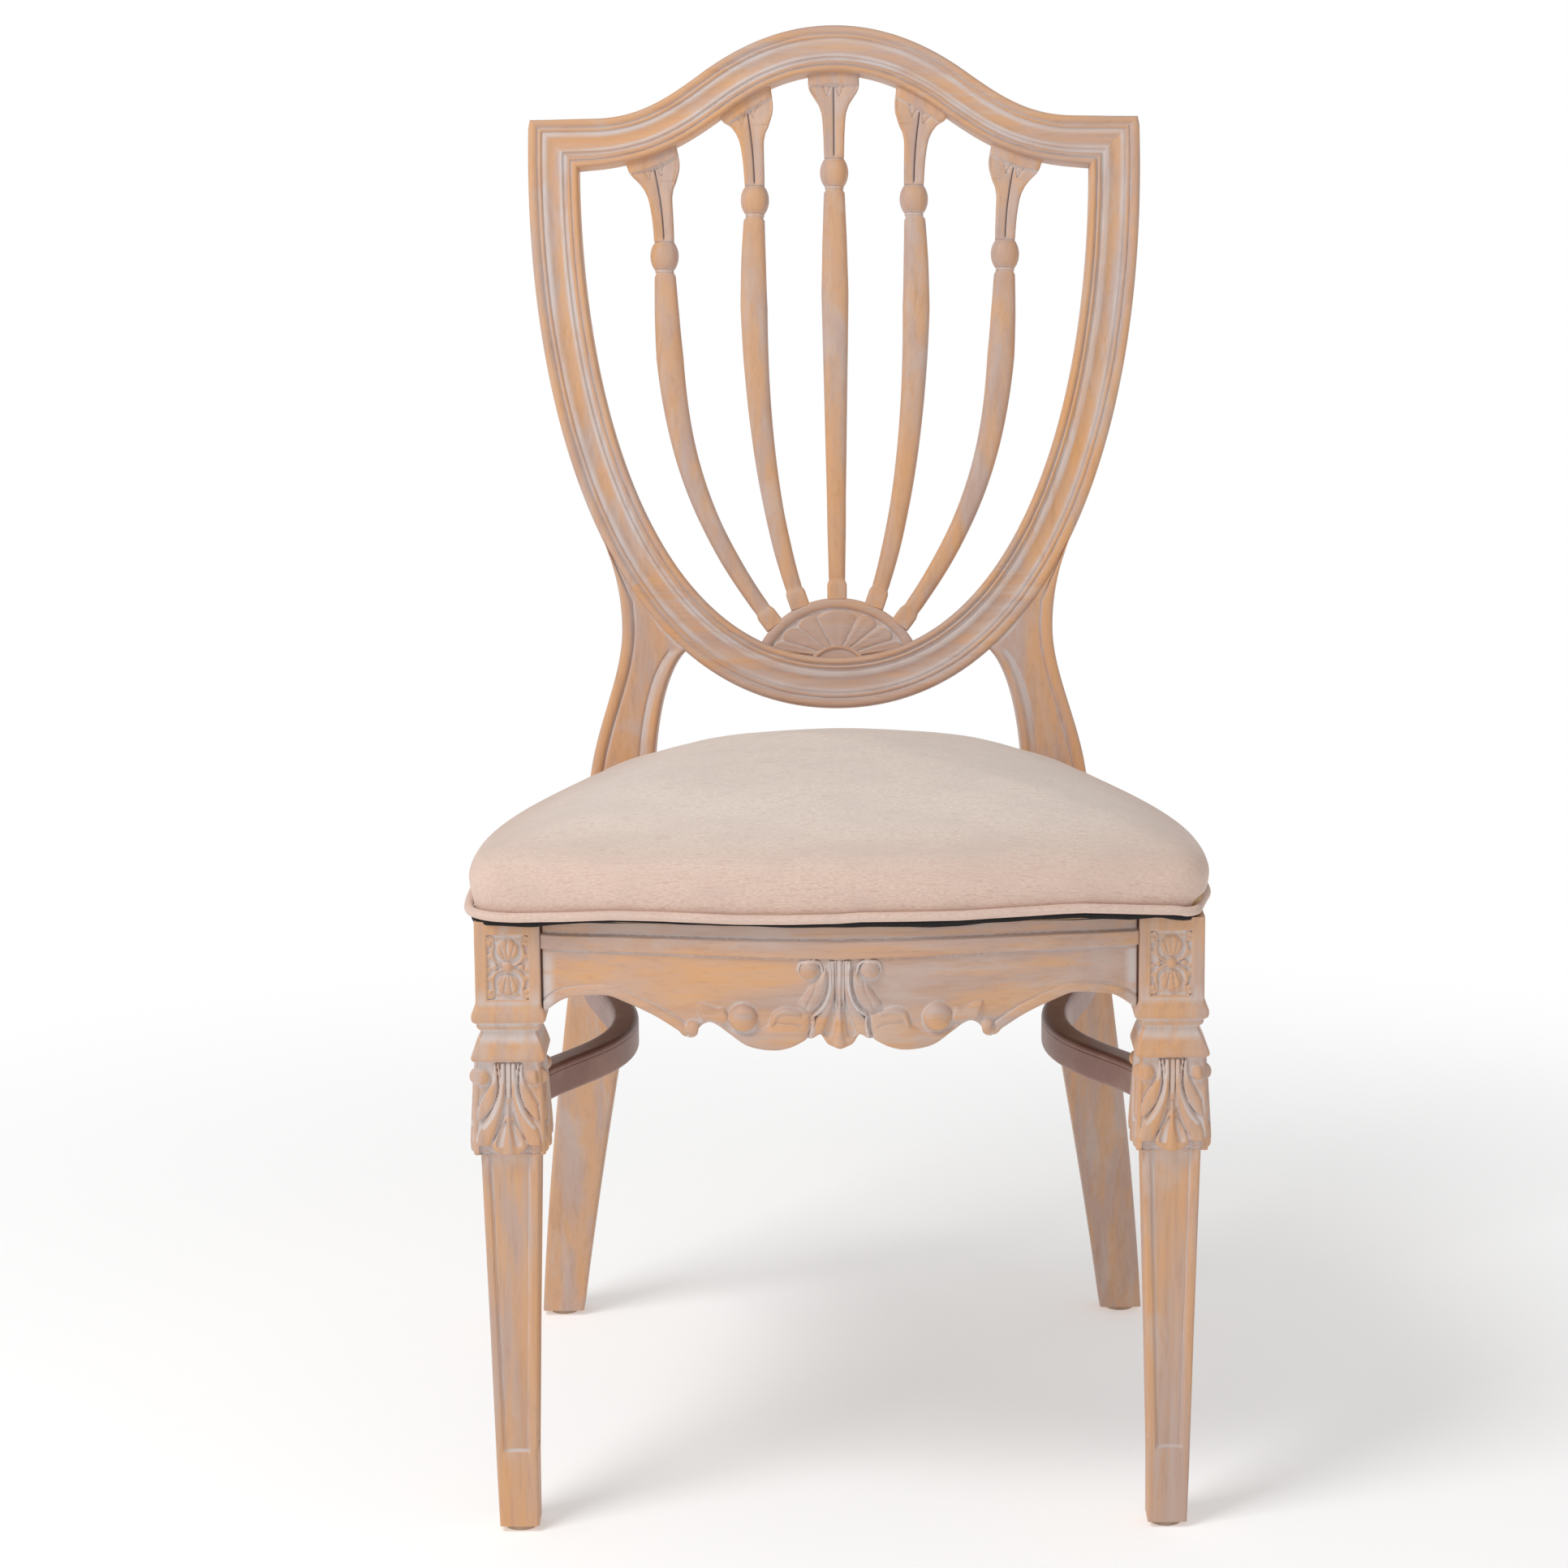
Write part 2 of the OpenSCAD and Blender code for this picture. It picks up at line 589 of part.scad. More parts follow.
// The upright petals are the longest, and the slanting ones the shortest
function petal_reach(k) = 0.46 * (k % 4 == 0 ? flower_h : k % 4 == 2 ? flower_w : 0.75 * flower_w);
petal_outline_share = [[0, -0.12], [0.35, -0.38], [0.75, -0.48], [0.95, -0.3], [1, 0],
    [0.95, 0.3], [0.75, 0.48], [0.35, 0.38], [0, 0.12]];

// The capital's leaf: shares of half the capital's width and of its height, from the top down
leaf_share = [[0.16, 0], [0.13, 0.3], [0.3, 0.62], [0.62, 0.86],
    [0.72, 0.72], [0.42, 0.38], [0.34, 0.1], [0.36, 0]];
side_leaf_share = [[0.5, 0.3], [0.48, 0.46], [0.62, 0.62], [0.86, 0.8],
    [0.95, 1], [0.97, 0.5], [0.84, 0.3]];
tongue_share = [[0, 0.1], [0.05, 0.55], [0.2, 0.82], [0.26, 0.97], [0, 1.03]];
leaf_relief = 2;
leaf_ball = 9;
leaf_ball_share = [0.68, 0.15];
module leaf_outline(share) polygon([for (p = share) [p.x * capital_half, neck_z - p.y * capital_h]]);
module leaf_half() {
    leaf_outline(leaf_share);
    leaf_outline(side_leaf_share);
    leaf_outline(tongue_share);
}
module capital_carving() {
    face_stock(capital_half - capital_waist, -leaf_relief) {
        leaf_half();
        mirror([1, 0, 0]) leaf_half();
    }
    both_sides() translate([leaf_ball_share.x * capital_half, 0, neck_z - leaf_ball_share.y * capital_h])
        sphere(d = leaf_ball);
}
module front_leg() color("burlywood") difference() {
    at_front_leg() union() {
        intersection() {
            face_stock(3 * block_w, -block_w) leg_across_view();
            translate([-block_w, 0, 0]) rotate([90, 0, 90]) linear_extrude(2 * block_w) leg_depth_view();
        }
        capital_carving();
        translate([0, flower_sink, flower_z]) sphere(d = flower_ball);
    }
    at_front_leg() {
        face_stock(panel_sink + face_set + overrun, -overrun) intersection() {
            shaft_panel();
            translate([-block_w, 0]) square([2 * block_w, capital_z - tongue_hang]);
        }
        difference() {
            face_stock(flower_sink + overrun, -overrun) flower_panel();
            translate([0, flower_sink, flower_z]) sphere(d = flower_ball);
        }
    }
    apron_tenons(glue_gap);
    side_rail_tenons(glue_gap);
    brace_dowels_all(glue_gap);
    nails(glue_gap);
}
tongue_hang = 3;
module front_leg_right() front_leg();
module front_leg_left() mirror([1, 0, 0]) front_leg();

// Front apron: a bowed board with an arched and carved lower edge

// Lower edge of the right half, in shares of the apron's half width and of its greatest drop
arch_share = [[1.01, 0.79], [0.938, 0.655], [0.888, 0.614], [0.786, 0.588],
    [0.721, 0.633], [0.621, 0.737], [0.538, 0.857]];
knob_share = [[0.538, 0.857], [0.52, 0.9], [0.497, 0.915], [0.478, 0.89], [0.471, 0.825]];
lobe_share = [[0.471, 0.825], [0.433, 0.783], [0.38, 0.85], [0.309, 0.964],
    [0.228, 1], [0.167, 0.977], [0.106, 0.903]];
leaf_tip_share = [[0.09, 0.895]];
drop_share = [[0.065, 0.87], [0.04, 0.95], [0, 0.985]];
apron_size = [apron_half, -apron_drop];
apron_edge = scaled(concat(smooth(arch_share), tail(smooth(knob_share)), tail(smooth(lobe_share)),
    leaf_tip_share, smooth(drop_share)), apron_size);
module apron_outline() translate([0, seat_h]) polygon(concat(
    [[0, 0], [apron_half - glue_gap, 0]],
    [for (p = apron_edge) if (p.x < apron_half - glue_gap && p.x > nick) p],
    reversed(mirrored([for (p = apron_edge) if (p.x < apron_half - glue_gap) p])),
    [[-apron_half + glue_gap, 0]]));
// The bow in plan, between two radii about its centre
bow_steps = 12;
function bow_line(r) = [for (i = [-bow_steps:bow_steps]) let (x = front_half * i / bow_steps)
    [x, apron_cy - sqrt(r * r - x * x)]];
module bow_plan(inner, outer) polygon(concat(bow_line(outer), reversed(bow_line(inner))));
// Stock between two radii, drawn as seen from the front
module bowed(inner, outer) intersection() {
    face_stock(3 * overrun, -overrun) children();
    linear_extrude(seat_h) bow_plan(inner, outer);
}
band_top = 10;
band_h = 11.5;
band_relief = 2;
module apron_band() translate([-apron_half + glue_gap, seat_h - band_top - band_h])
    square([2 * (apron_half - glue_gap), band_h]);
// Carving, in the same shares: the middle leaf, its scrolls, and the lobes at the sides
palm_share = [[0, 0.27], [0.045, 0.28], [0.05, 0.5], [0.095, 0.72], [0.062, 0.86], [0.03, 0.93], [0, 0.97]];
scroll_share = [[0.06, 0.27], [0.1, 0.27], [0.15, 0.4], [0.17, 0.62],
    [0.14, 0.72], [0.1, 0.66], [0.065, 0.45]];
side_scroll_share = [[0.12, 0.75], [0.2, 0.68], [0.26, 0.75], [0.3, 0.86],
    [0.3, 0.94], [0.228, 0.98], [0.16, 0.95], [0.12, 0.88]];
side_leaf_band_share = [[0.36, 0.68], [0.46, 0.66], [0.49, 0.7], [0.47, 0.78], [0.43, 0.76], [0.37, 0.8]];
carving_relief = 3;
carving_root = 1;        // how deep the raised parts reach into the board
module carving_half() for (share = [palm_share, scroll_share, side_scroll_share, side_leaf_band_share])
    translate([0, seat_h]) polygon(scaled(share, apron_size));
scroll_ball = 11;
scroll_ball_share = [0.1, 0.35];
side_ball = 18;
side_ball_share = [0.325, 0.73];
knob_ball = 9;
knob_ball_share = [0.5, 0.85];
module apron_ball(share, d) {
    x = share.x * apron_half;
    translate([x, apron_cy - sqrt(apron_r * apron_r - x * x), seat_h - share.y * apron_drop]) sphere(d = d);
}
module front_apron() color("burlywood") difference() {
    union() {
        bowed(apron_r - apron_t, apron_r) apron_outline();
        bowed(apron_r - carving_root, apron_r + band_relief) apron_band();
        bowed(apron_r - carving_root, apron_r + carving_relief) {
            carving_half();
            mirror([1, 0, 0]) carving_half();
        }
        both_sides() {
            apron_ball(scroll_ball_share, scroll_ball);
            apron_ball(side_ball_share, side_ball);
            apron_ball(knob_ball_share, knob_ball);
        }
        apron_tenons(0);
    }
    both_sides() block_screws_all(glue_gap);
}
module apron_tenons(gap) both_sides()
    translate([apron_half - tenon_t, apron_set + (apron_t - tenon_t) / 2 - gap, block_z + tenon_margin - gap])
    cube([tenon_t + tenon_l + gap, tenon_t + 2 * gap, rail_h - 2 * tenon_margin + 2 * gap]);

// Seat plan: the right half of the board's edge, from the middle of the front to the middle of the back

seat_back_inset = 6;
seat_back_over = 2;
corner_lead = 2;
seat_back_y = seat_depth - seat_back_inset;
seat_back_half = rear_half + seat_back_over;
corner_front_y = -board_over - corner_lead;
front_edge = [
    [0, seat_front_y],
    [0.37 * seat_half, seat_front_y],
    [0.66 * seat_half, between(seat_front_y, corner_front_y, 0.5)],
    [0.89 * seat_half, corner_front_y]];
front_corner = [
    front_edge[3],
    [0.965 * seat_half, between(corner_front_y, block_half, 0.15)],
    [seat_half, between(corner_front_y, block_half, 0.4)],
    [seat_half, 0.7 * block_w]];
side_edge = [
    front_corner[3],
    [1.02 * seat_half, 0.38 * seat_depth],
    [between(seat_back_half, seat_half, 0.45), 0.68 * seat_depth],
    [seat_back_half, 0.93 * seat_depth]];
rear_corner = [
    side_edge[3],
    [0.985 * seat_back_half, 0.97 * seat_depth],
    [0.96 * seat_back_half, seat_back_y],
    [0.88 * seat_back_half, seat_back_y]];
back_edge = [
    rear_corner[3],
    [0.6 * seat_back_half, seat_back_y],
    [0.3 * seat_back_half, seat_back_y],
    [0, seat_back_y]];
function tail(points) = [for (i = [1:len(points) - 1]) points[i]];
function seat_half_line(d) = concat(
    curve(front_edge, d, 7), tail(curve(front_corner, d, 4)), tail(curve(side_edge, d, 9)),
    tail(curve(rear_corner, d, 4)), tail(curve(back_edge, d, 3)));
// Closed line round the seat, moved out by d
function seat_line(d) = let (half = seat_half_line(d))
    concat(half, reversed(mirrored([for (p = half) if (p.x > nick) p])));

// Rails

rail_set = 5;                                    // the rails lie inside the board's edge
module between_heights(low, high) translate([0, 0, low]) linear_extrude(high - low) children();
// The seat's side moved out by d, carried on to the front and past the seat's back
function rail_line(d) = let (line = curve(side_edge, d), run = side_edge[3] - side_edge[2],
        past = seat_depth + rail_set - line[steps].y)
    concat([[line[0].x, 0]], line, [line[steps] + past / run.y * run]);
module side_rail_stock() between_heights(block_z, seat_h) intersection() {
    polygon(concat(rail_line(-rail_set), reversed(rail_line(-rail_set - rail_t))));
    translate([0, block_w + glue_gap]) square([front_w, seat_depth]);
}
module side_rail_tenons(gap) {
    size = [tenon_t + 2 * gap, 1.2 * tenon_l + gap, rail_h - 2 * tenon_margin + 2 * gap];
    low = block_z + tenon_margin - gap;
    middle = rail_set + rail_t / 2;
    translate([seat_half - middle - tenon_t / 2 - gap, block_w - 0.7 * tenon_l - gap, low]) cube(size);
    translate([seat_back_half - middle - tenon_t - gap, seat_depth - tenon_l / 2, low]) cube(size);
}
module side_rail() color("burlywood") difference() {
    union() {
        difference() {
            side_rail_stock();
            translate([0, -glue_gap, 0]) rear_leg_stock();
        }
        side_rail_tenons(0);
    }
    block_screws_all(glue_gap);
}
module side_rail_right() side_rail();
module side_rail_left() mirror([1, 0, 0]) side_rail();

// The back rail stands in front of the legs' front faces by its lead, so that the seat rests on it
back_rail_lead = 16;
back_rail_y = seat_depth - back_rail_lead;
back_tenon_y = (seat_depth + back_rail_y + back_rail_t) / 2;     // middle of the part between the legs
face_slack = 2;              // the leg's face wanders by less than this over the rail's height
module back_rail_tenons(gap) both_sides()
    translate([rear_inner_half - tenon_t, back_tenon_y - tenon_t / 2 - gap, block_z + tenon_margin - gap])
    cube([tenon_t + tenon_l / 2 + gap, tenon_t + 2 * gap, rail_h - 2 * tenon_margin + 2 * gap]);
module back_rail() color("burlywood") difference() {
    union() {
        difference() {
            translate([-rear_half, back_rail_y, block_z]) cube([2 * rear_half, back_rail_t, rail_h]);
            both_sides() {
                translate([-glue_gap, 0, 0]) rear_leg_stock();
                // what would stand in front of the leg, and outside it
                translate([rear_inner_half - glue_gap, 0, 0])
                    cube([rear_half, seat_depth + face_slack, 2 * seat_h]);
                translate([rear_half - rear_leg_w / 2, 0, 0]) cube([rear_half, 2 * seat_depth, 2 * seat_h]);
            }
        }
        back_rail_tenons(0);
    }
    both_sides() block_screws_all(glue_gap);
}

// Bowed stretchers, in plan: from the front leg's back face in to the bow and out to the rear leg

brace_front_inset = 6;                      // from the front leg's middle line
brace_back_over = 2;                        // outside the rear leg's side at the seat
brace_front = [leg_x - brace_front_inset, block_half + capital_half + glue_gap];
brace_bow = [brace_bow_x, 0.54 * seat_depth];
brace_back = [rear_half + brace_back_over, seat_depth + rear_leg_d];
brace_edge_share = 0.12;
function brace_side(d) = concat(
    curve([brace_front, [brace_front.x, between(brace_front.y, brace_bow.y, 0.35)],
        [brace_bow.x, between(brace_front.y, brace_bow.y, 0.5)], brace_bow], d),
    tail(curve([brace_bow, [brace_bow.x, between(brace_bow.y, brace_back.y, 0.28)],
        [brace_back.x, between(brace_bow.y, brace_back.y, 0.55)], brace_back], d)));
module brace_layer(low, high, inset) between_heights(brace_z + low, brace_z + high)
    polygon(concat(brace_side(brace_w / 2 - inset), reversed(brace_side(-brace_w / 2 + inset))));
module brace() color("rosybrown") difference() {
    edge = brace_edge_share * brace_w;
    union() {
        brace_layer(0, brace_h, edge);
        brace_layer(edge / 2, brace_h - edge / 2, edge / 3);
        brace_layer(edge, brace_h - edge, 0);
    }
    translate([0, -glue_gap, 0]) rear_leg_stock();
    translate([0, seat_depth + rear_leg_d / 2, 0]) cube([front_w, front_w, seat_h]);
    brace_dowels_all(glue_gap);
}
module brace_right() brace();
module brace_left() mirror([1, 0, 0]) brace();

rear_face_y = lookup(brace_z + brace_h / 2, [for (p = leg_front_face) [p.y, p.x]]);
module brace_dowels_all(gap) for (place = [brace_front, [brace_back.x, rear_face_y]])
    translate([place.x, place.y - dowel_l / 2 - gap, brace_z + brace_h / 2]) rotate([-90, 0, 0])
    cylinder(d = dowel_d + 2 * gap, h = dowel_l + 2 * gap);
module brace_dowels() color("wheat") both_sides() brace_dowels_all(0);

// Corner blocks, each between two rails and round its leg

block_top = seat_h - block_low;
front_corner_point = [seat_half - rail_set - rail_t - glue_gap, apron_set + apron_t];
rear_corner_point = [seat_back_half - rail_set - rail_t / 2, seat_depth - 2 * face_slack];
module corner_prism(corner, reach) between_heights(block_top - block_h, block_top)
    polygon([corner, [corner.x - reach.x, corner.y], [corner.x, corner.y + reach.y]]);
// The side rail and all that lies outside it
module keep_off_side() between_heights(0, 2 * seat_h)
    polygon(concat(rail_line(-rail_set - rail_t - glue_gap), [[front_w, 2 * seat_depth], [front_w, 0]]));
module front_block() color("peru") difference() {
    corner_prism(front_corner_point, 1.2 * [block_l, block_l]);
    translate([apron_half - glue_gap, -block_w, 0]) cube([front_w, 2 * block_w + glue_gap, 2 * seat_h]);
    between_heights(0, 2 * seat_h) bow_plan(apron_r - apron_t - glue_gap, apron_r);
    keep_off_side();
    block_screws_all(glue_gap);
    seat_screws_all(glue_gap);
}
module rear_block() color("peru") difference() {
    corner_prism(rear_corner_point, block_l * [1.55, -1.42]);
    translate([0, back_rail_y - glue_gap, 0]) cube([rear_inner_half, back_rail_t, 2 * seat_h]);
    keep_off_side();
    block_screws_all(glue_gap);
    seat_screws_all(glue_gap);
}
module corner_block_front_right() front_block();
module corner_block_front_left() mirror([1, 0, 0]) front_block();
module corner_block_rear_right() rear_block();
module corner_block_rear_left() mirror([1, 0, 0]) rear_block();

// Fasteners

// A countersunk screw along +Z from its head's top, with the way in for its head
module screw(l, gap) {
    translate([0, 0, -gap]) cylinder(d = screw_head_d + 2 * gap, h = screw_head_h + 2 * gap);
    cylinder(d = screw_d + 2 * gap, h = screw_head_h + l + gap);
    if (gap > 0) translate([0, 0, -overrun]) cylinder(d = screw_head_d + 2 * gap, h = overrun);
}
seat_screw_front = [0.78 * front_half, 1.2 * block_w];
seat_screw_rear = [0.68 * rear_half, back_rail_y - 0.36 * block_w];
seat_screw_z = board_z + board_t - screw_cover - seat_screw_l;
module seat_screws_all(gap) for (place = [seat_screw_front, seat_screw_rear])
    translate([place.x, place.y, seat_screw_z]) screw(seat_screw_l - screw_head_h, gap);
module seat_screws() color("silver") both_sides() seat_screws_all(0);

block_screw_z = block_top - block_h / 2;
module block_screws_all(gap) {
    // out into the side rail, near each end
    for (place = [[0.45, 1.9 * block_w], [-0.4, seat_depth - 1.15 * block_w]])
        translate([between(rear_half, front_half, place.x) - block_screw_l / 2, place.y, block_screw_z])
        rotate([0, 90, 0]) screw(block_screw_l - screw_head_h, gap);
    // into the apron and into the back rail
    translate([0.68 * front_half, apron_set + apron_t + block_screw_l / 2, block_screw_z])
        rotate([90, 0, 0]) screw(block_screw_l - screw_head_h, gap);
    translate([0.6 * rear_half, back_rail_y - 0.45 * block_screw_l, block_screw_z])
        rotate([-90, 0, 0]) screw(block_screw_l - screw_head_h, gap);
}
module block_screws() color("silver") both_sides() block_screws_all(0);

// Glides

front_foot = [leg_x, face_set + shaft_foot];
rear_foot = [rear_foot_half - rear_foot_w / 2, seat_depth + rear_rake + rear_foot_d / 2];
module nails(gap) for (place = [front_foot, rear_foot]) translate([place.x, place.y, glide_h / 2])
    nail(gap);
module nail(gap) {
    translate([0, 0, -gap]) cylinder(d = nail_head_d + 2 * gap, h = nail_head_h + 2 * gap);
    cylinder(d = nail_d + 2 * gap, h = nail_l + gap);
}
module glide(place) color("antiquewhite") difference() {
    translate([place.x, place.y, 0]) cylinder(d = glide_d, h = glide_h - glue_gap);
    nails(glue_gap);
    translate([place.x, place.y, -overrun]) cylinder(d = nail_head_d, h = overrun + glide_h / 2);
}
module glide_front_right() glide(front_foot);
module glide_front_left() mirror([1, 0, 0]) glide(front_foot);
module glide_rear_right() glide(rear_foot);
module glide_rear_left() mirror([1, 0, 0]) glide(rear_foot);
module glide_nails() color("silver") both_sides() nails(0);

// Upholstery, from the rails up: dust cover, hem of the cover, board, foam

hem_share = 0.9;
seat_middle = [0, between(seat_front_y, seat_back_y, 0.5)];
module dust_cover() color("dimgray") difference() {
    between_heights(dust_z, dust_z + dust_t) polygon(seat_line(-dust_inset));
    both_sides() seat_screws_all(glue_gap);
}
module seat_board() color("tan") difference() {
    between_heights(board_z, board_z + board_t) polygon(seat_line(0));
    both_sides() seat_screws_all(glue_gap);
}
// Rings of the cushion: each row holds how far the ring stands out, its share of the plan, and its
// height at the front and at the back, where the cushion's shoulder is lower
crown_top = board_z + board_t + crown_h;
bulge = 3;
crown_share = [[0.985, 0.44, 0.14], [0.945, 0.49, 0.2], [0.87, 0.59, 0.34],
    [0.76, 0.72, 0.51], [0.6, 0.86, 0.72], [0.38, 0.97, 0.96]];
back_fullest_share = 0.45;
function cushion_rows(out, low) = concat(
    [[out, 1, low, low]],
    low < board_z + board_t ? [[out, 1, board_z + board_t / 2, board_z + board_t / 2]] : [],
    [for (s = [[0.7, 0.4], [1, 1]]) [out + s.x * bulge, 1,
        board_z + board_t + s.y * fullest_h, board_z + board_t + s.y * back_fullest_share * fullest_h]],
    [for (s = crown_share) [out, s[0],
        between(board_z + board_t, crown_at(out), s[1]), between(board_z + board_t, crown_at(out), s[2])]]);
// The crown's top for a cushion that stands out by this much from the foam
function crown_at(out) = crown_top + out - soft_gap - cover_t;
function backwards(p) = (p.y - seat_front_y) / (seat_back_y - seat_front_y);
function cushion_ring(row) = [for (p = seat_line(row[0]))
    [between(seat_middle.x, p.x, row[1]), between(seat_middle.y, p.y, row[1]),
     between(row[2], row[3], backwards(p))]];
module cushion(out, low) {
    rows = cushion_rows(out, low);
    n = len(seat_line(0));
    points = concat([for (row = rows) each cushion_ring(row)],
        [[seat_middle.x, seat_middle.y, low], [seat_middle.x, seat_middle.y, crown_at(out)]]);
    last = len(rows) * n;
    polyhedron(points, concat(
        [for (i = [0:n - 1]) [last, i, (i + 1) % n]],
        [for (r = [0:len(rows) - 2], i = [0:n - 1]) let (a = r * n + i, b = r * n + (i + 1) % n) each
            [[a, a + n, b], [b, a + n, b + n]]],
        [for (i = [0:n - 1]) [last - n + i, last + 1, last - n + (i + 1) % n]]));
}
module seat_foam() color("lemonchiffon") cushion(0, board_z + board_t + glue_gap);
module seat_cover() color("mistyrose") difference() {
    cushion(soft_gap + cover_t, hem_z);
    cushion(soft_gap, hem_z + cover_t);
    between_heights(hem_z - overrun, board_z)
        translate(seat_middle) scale(hem_share) translate(-seat_middle) polygon(seat_line(0));
}
// The piping is one tube round the cover's lower edge
piping_sides = 8;
module seat_piping() color("mistyrose") {
    n = len(seat_line(0));
    rings = [for (k = [0:piping_sides - 1]) let (a = 360 * k / piping_sides)
        [for (p = seat_line(piping_set + piping_r + piping_r * cos(a)))
            [p.x, p.y, board_z + piping_r + piping_r * sin(a)]]];
    polyhedron([for (ring = rings) each ring],
        [for (k = [0:piping_sides - 1], i = [0:n - 1]) let (a = k * n + i, b = k * n + (i + 1) % n,
            c = ((k + 1) % piping_sides) * n + i, d = ((k + 1) % piping_sides) * n + (i + 1) % n) each
            [[a, c, b], [b, c, d]]]);
}

// The chair, with the middle of its box on the origin

translate([0, -centre_y, 0]) front_leg_left();
translate([0, -centre_y, 0]) front_leg_right();
translate([0, -centre_y, 0]) rear_leg_left();
translate([0, -centre_y, 0]) rear_leg_right();
translate([0, -centre_y, 0]) crest_rail();
translate([0, -centre_y, 0]) shield_stile_left();
translate([0, -centre_y, 0]) shield_stile_right();
translate([0, -centre_y, 0]) shield_bow();
translate([0, -centre_y, 0]) spindle_outer_left();
translate([0, -centre_y, 0]) spindle_inner_left();
translate([0, -centre_y, 0]) spindle_centre();
translate([0, -centre_y, 0]) spindle_inner_right();
translate([0, -centre_y, 0]) spindle_outer_right();
translate([0, -centre_y, 0]) lunette();
translate([0, -centre_y, 0]) front_apron();
translate([0, -centre_y, 0]) side_rail_left();
translate([0, -centre_y, 0]) side_rail_right();
translate([0, -centre_y, 0]) back_rail();
translate([0, -centre_y, 0]) brace_left();
translate([0, -centre_y, 0]) brace_right();
translate([0, -centre_y, 0]) corner_block_front_left();
translate([0, -centre_y, 0]) corner_block_front_right();
translate([0, -centre_y, 0]) corner_block_rear_left();
translate([0, -centre_y, 0]) corner_block_rear_right();
translate([0, -centre_y, 0]) seat_board();
translate([0, -centre_y, 0]) seat_foam();
translate([0, -centre_y, 0]) seat_cover();
translate([0, -centre_y, 0]) seat_piping();
translate([0, -centre_y, 0]) dust_cover();
translate([0, -centre_y, 0]) glide_front_left();
translate([0, -centre_y, 0]) glide_front_right();
translate([0, -centre_y, 0]) glide_rear_left();
translate([0, -centre_y, 0]) glide_rear_right();
translate([0, -centre_y, 0]) seat_screws();
translate([0, -centre_y, 0]) block_screws();
translate([0, -centre_y, 0]) brace_dowels();
translate([0, -centre_y, 0]) shield_dowels();
translate([0, -centre_y, 0]) glide_nails();
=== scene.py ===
# %% [markdown]
# # A shield-back dining chair in limewashed wood
# The chair is built the way a chair maker would: a moulded shield frame, five carved splats, two bent
# rear legs, two carved front legs, a bowed apron, two bowed stretchers and an upholstered seat. The
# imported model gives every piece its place, so each new piece here is drawn to the same measures.
#
# A box that is extruded and bevelled by hand gives a plain stick, but on this chair nearly every face is
# moulded or carved. So each piece is skinned over many closed rings, and the carving is added to the
# rings as heights, which keeps every piece closed and lets a reader change one leaf at a time.

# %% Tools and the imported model
import math
import bpy
import numpy as np
from mathutils import Matrix, Vector


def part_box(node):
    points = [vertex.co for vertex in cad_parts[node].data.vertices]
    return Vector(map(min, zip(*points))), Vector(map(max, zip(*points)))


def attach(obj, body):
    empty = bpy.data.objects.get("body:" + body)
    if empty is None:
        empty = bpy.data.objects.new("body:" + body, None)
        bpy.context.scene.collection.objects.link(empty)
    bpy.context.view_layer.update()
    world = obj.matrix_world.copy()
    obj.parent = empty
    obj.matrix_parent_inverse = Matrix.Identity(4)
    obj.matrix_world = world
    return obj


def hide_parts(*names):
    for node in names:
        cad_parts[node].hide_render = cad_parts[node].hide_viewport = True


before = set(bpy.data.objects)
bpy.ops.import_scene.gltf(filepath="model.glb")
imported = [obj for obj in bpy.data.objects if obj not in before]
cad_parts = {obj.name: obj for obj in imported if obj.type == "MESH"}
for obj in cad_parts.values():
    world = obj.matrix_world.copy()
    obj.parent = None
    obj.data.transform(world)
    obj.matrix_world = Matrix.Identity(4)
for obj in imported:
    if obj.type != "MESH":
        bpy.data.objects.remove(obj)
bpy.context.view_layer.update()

mm = 0.001
# The drawing's y = 0 is the front legs' face; the row frame has y = 0 in the middle of the chair
back_rail_y = 382
centre_y = back_rail_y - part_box("back_rail")[0].y / mm
print("Loaded", len(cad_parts), "pieces; the drawing's middle lies at", round(centre_y, 2), "mm")

# %% [markdown]
# ## Helpers for lines
# Every outline of the chair is a smooth curve, as a maker would draw it on a board. Blender's curve
# objects could hold them, but then a second line beside the first is hard to get. These helpers draw a
# curve through its handles as plain points, run another one beside it, and space points along a line.

# %% Curves
def cubic(handles, count, aside=0.0):
    """Points of a curve with four handles, moved to its right by aside."""
    t = np.linspace(0, 1, count + 1)[:, None]
    p = np.asarray(handles, float)
    place = (1 - t)**3 * p[0] + 3 * t * (1 - t)**2 * p[1] + 3 * t**2 * (1 - t) * p[2] + t**3 * p[3]
    slope = (1 - t)**2 * (p[1] - p[0]) + 2 * t * (1 - t) * (p[2] - p[1]) + t**2 * (p[3] - p[2])
    right = np.column_stack([slope[:, 1], -slope[:, 0]]) / np.linalg.norm(slope, axis=1)[:, None]
    return place + aside * right


def smoothed(points, steps=8):
    """A smooth line that passes through every point."""
    p = np.asarray(points, float)
    p = np.vstack([p[:1], p, p[-1:]])
    t = np.linspace(0, 1, steps + 1)[:-1, None]
    parts = []
    for a, b, c, d in zip(p, p[1:], p[2:], p[3:]):
        parts.append((2 * b + (c - a) * t + (2 * a - 5 * b + 4 * c - d) * t**2
                      + (3 * b - a - 3 * c + d) * t**3) / 2)
    return np.vstack(parts + [p[-1:]])


print("A quarter bow has", len(cubic([(0, 0), (0, 1), (1, 2), (2, 2)], 8)), "points")

# %% Measuring and sharing out
def lengths(line):
    """Distance of each point of a line from its start, measured along it."""
    return np.concatenate([[0], np.cumsum(np.linalg.norm(np.diff(line, axis=0), axis=1))])


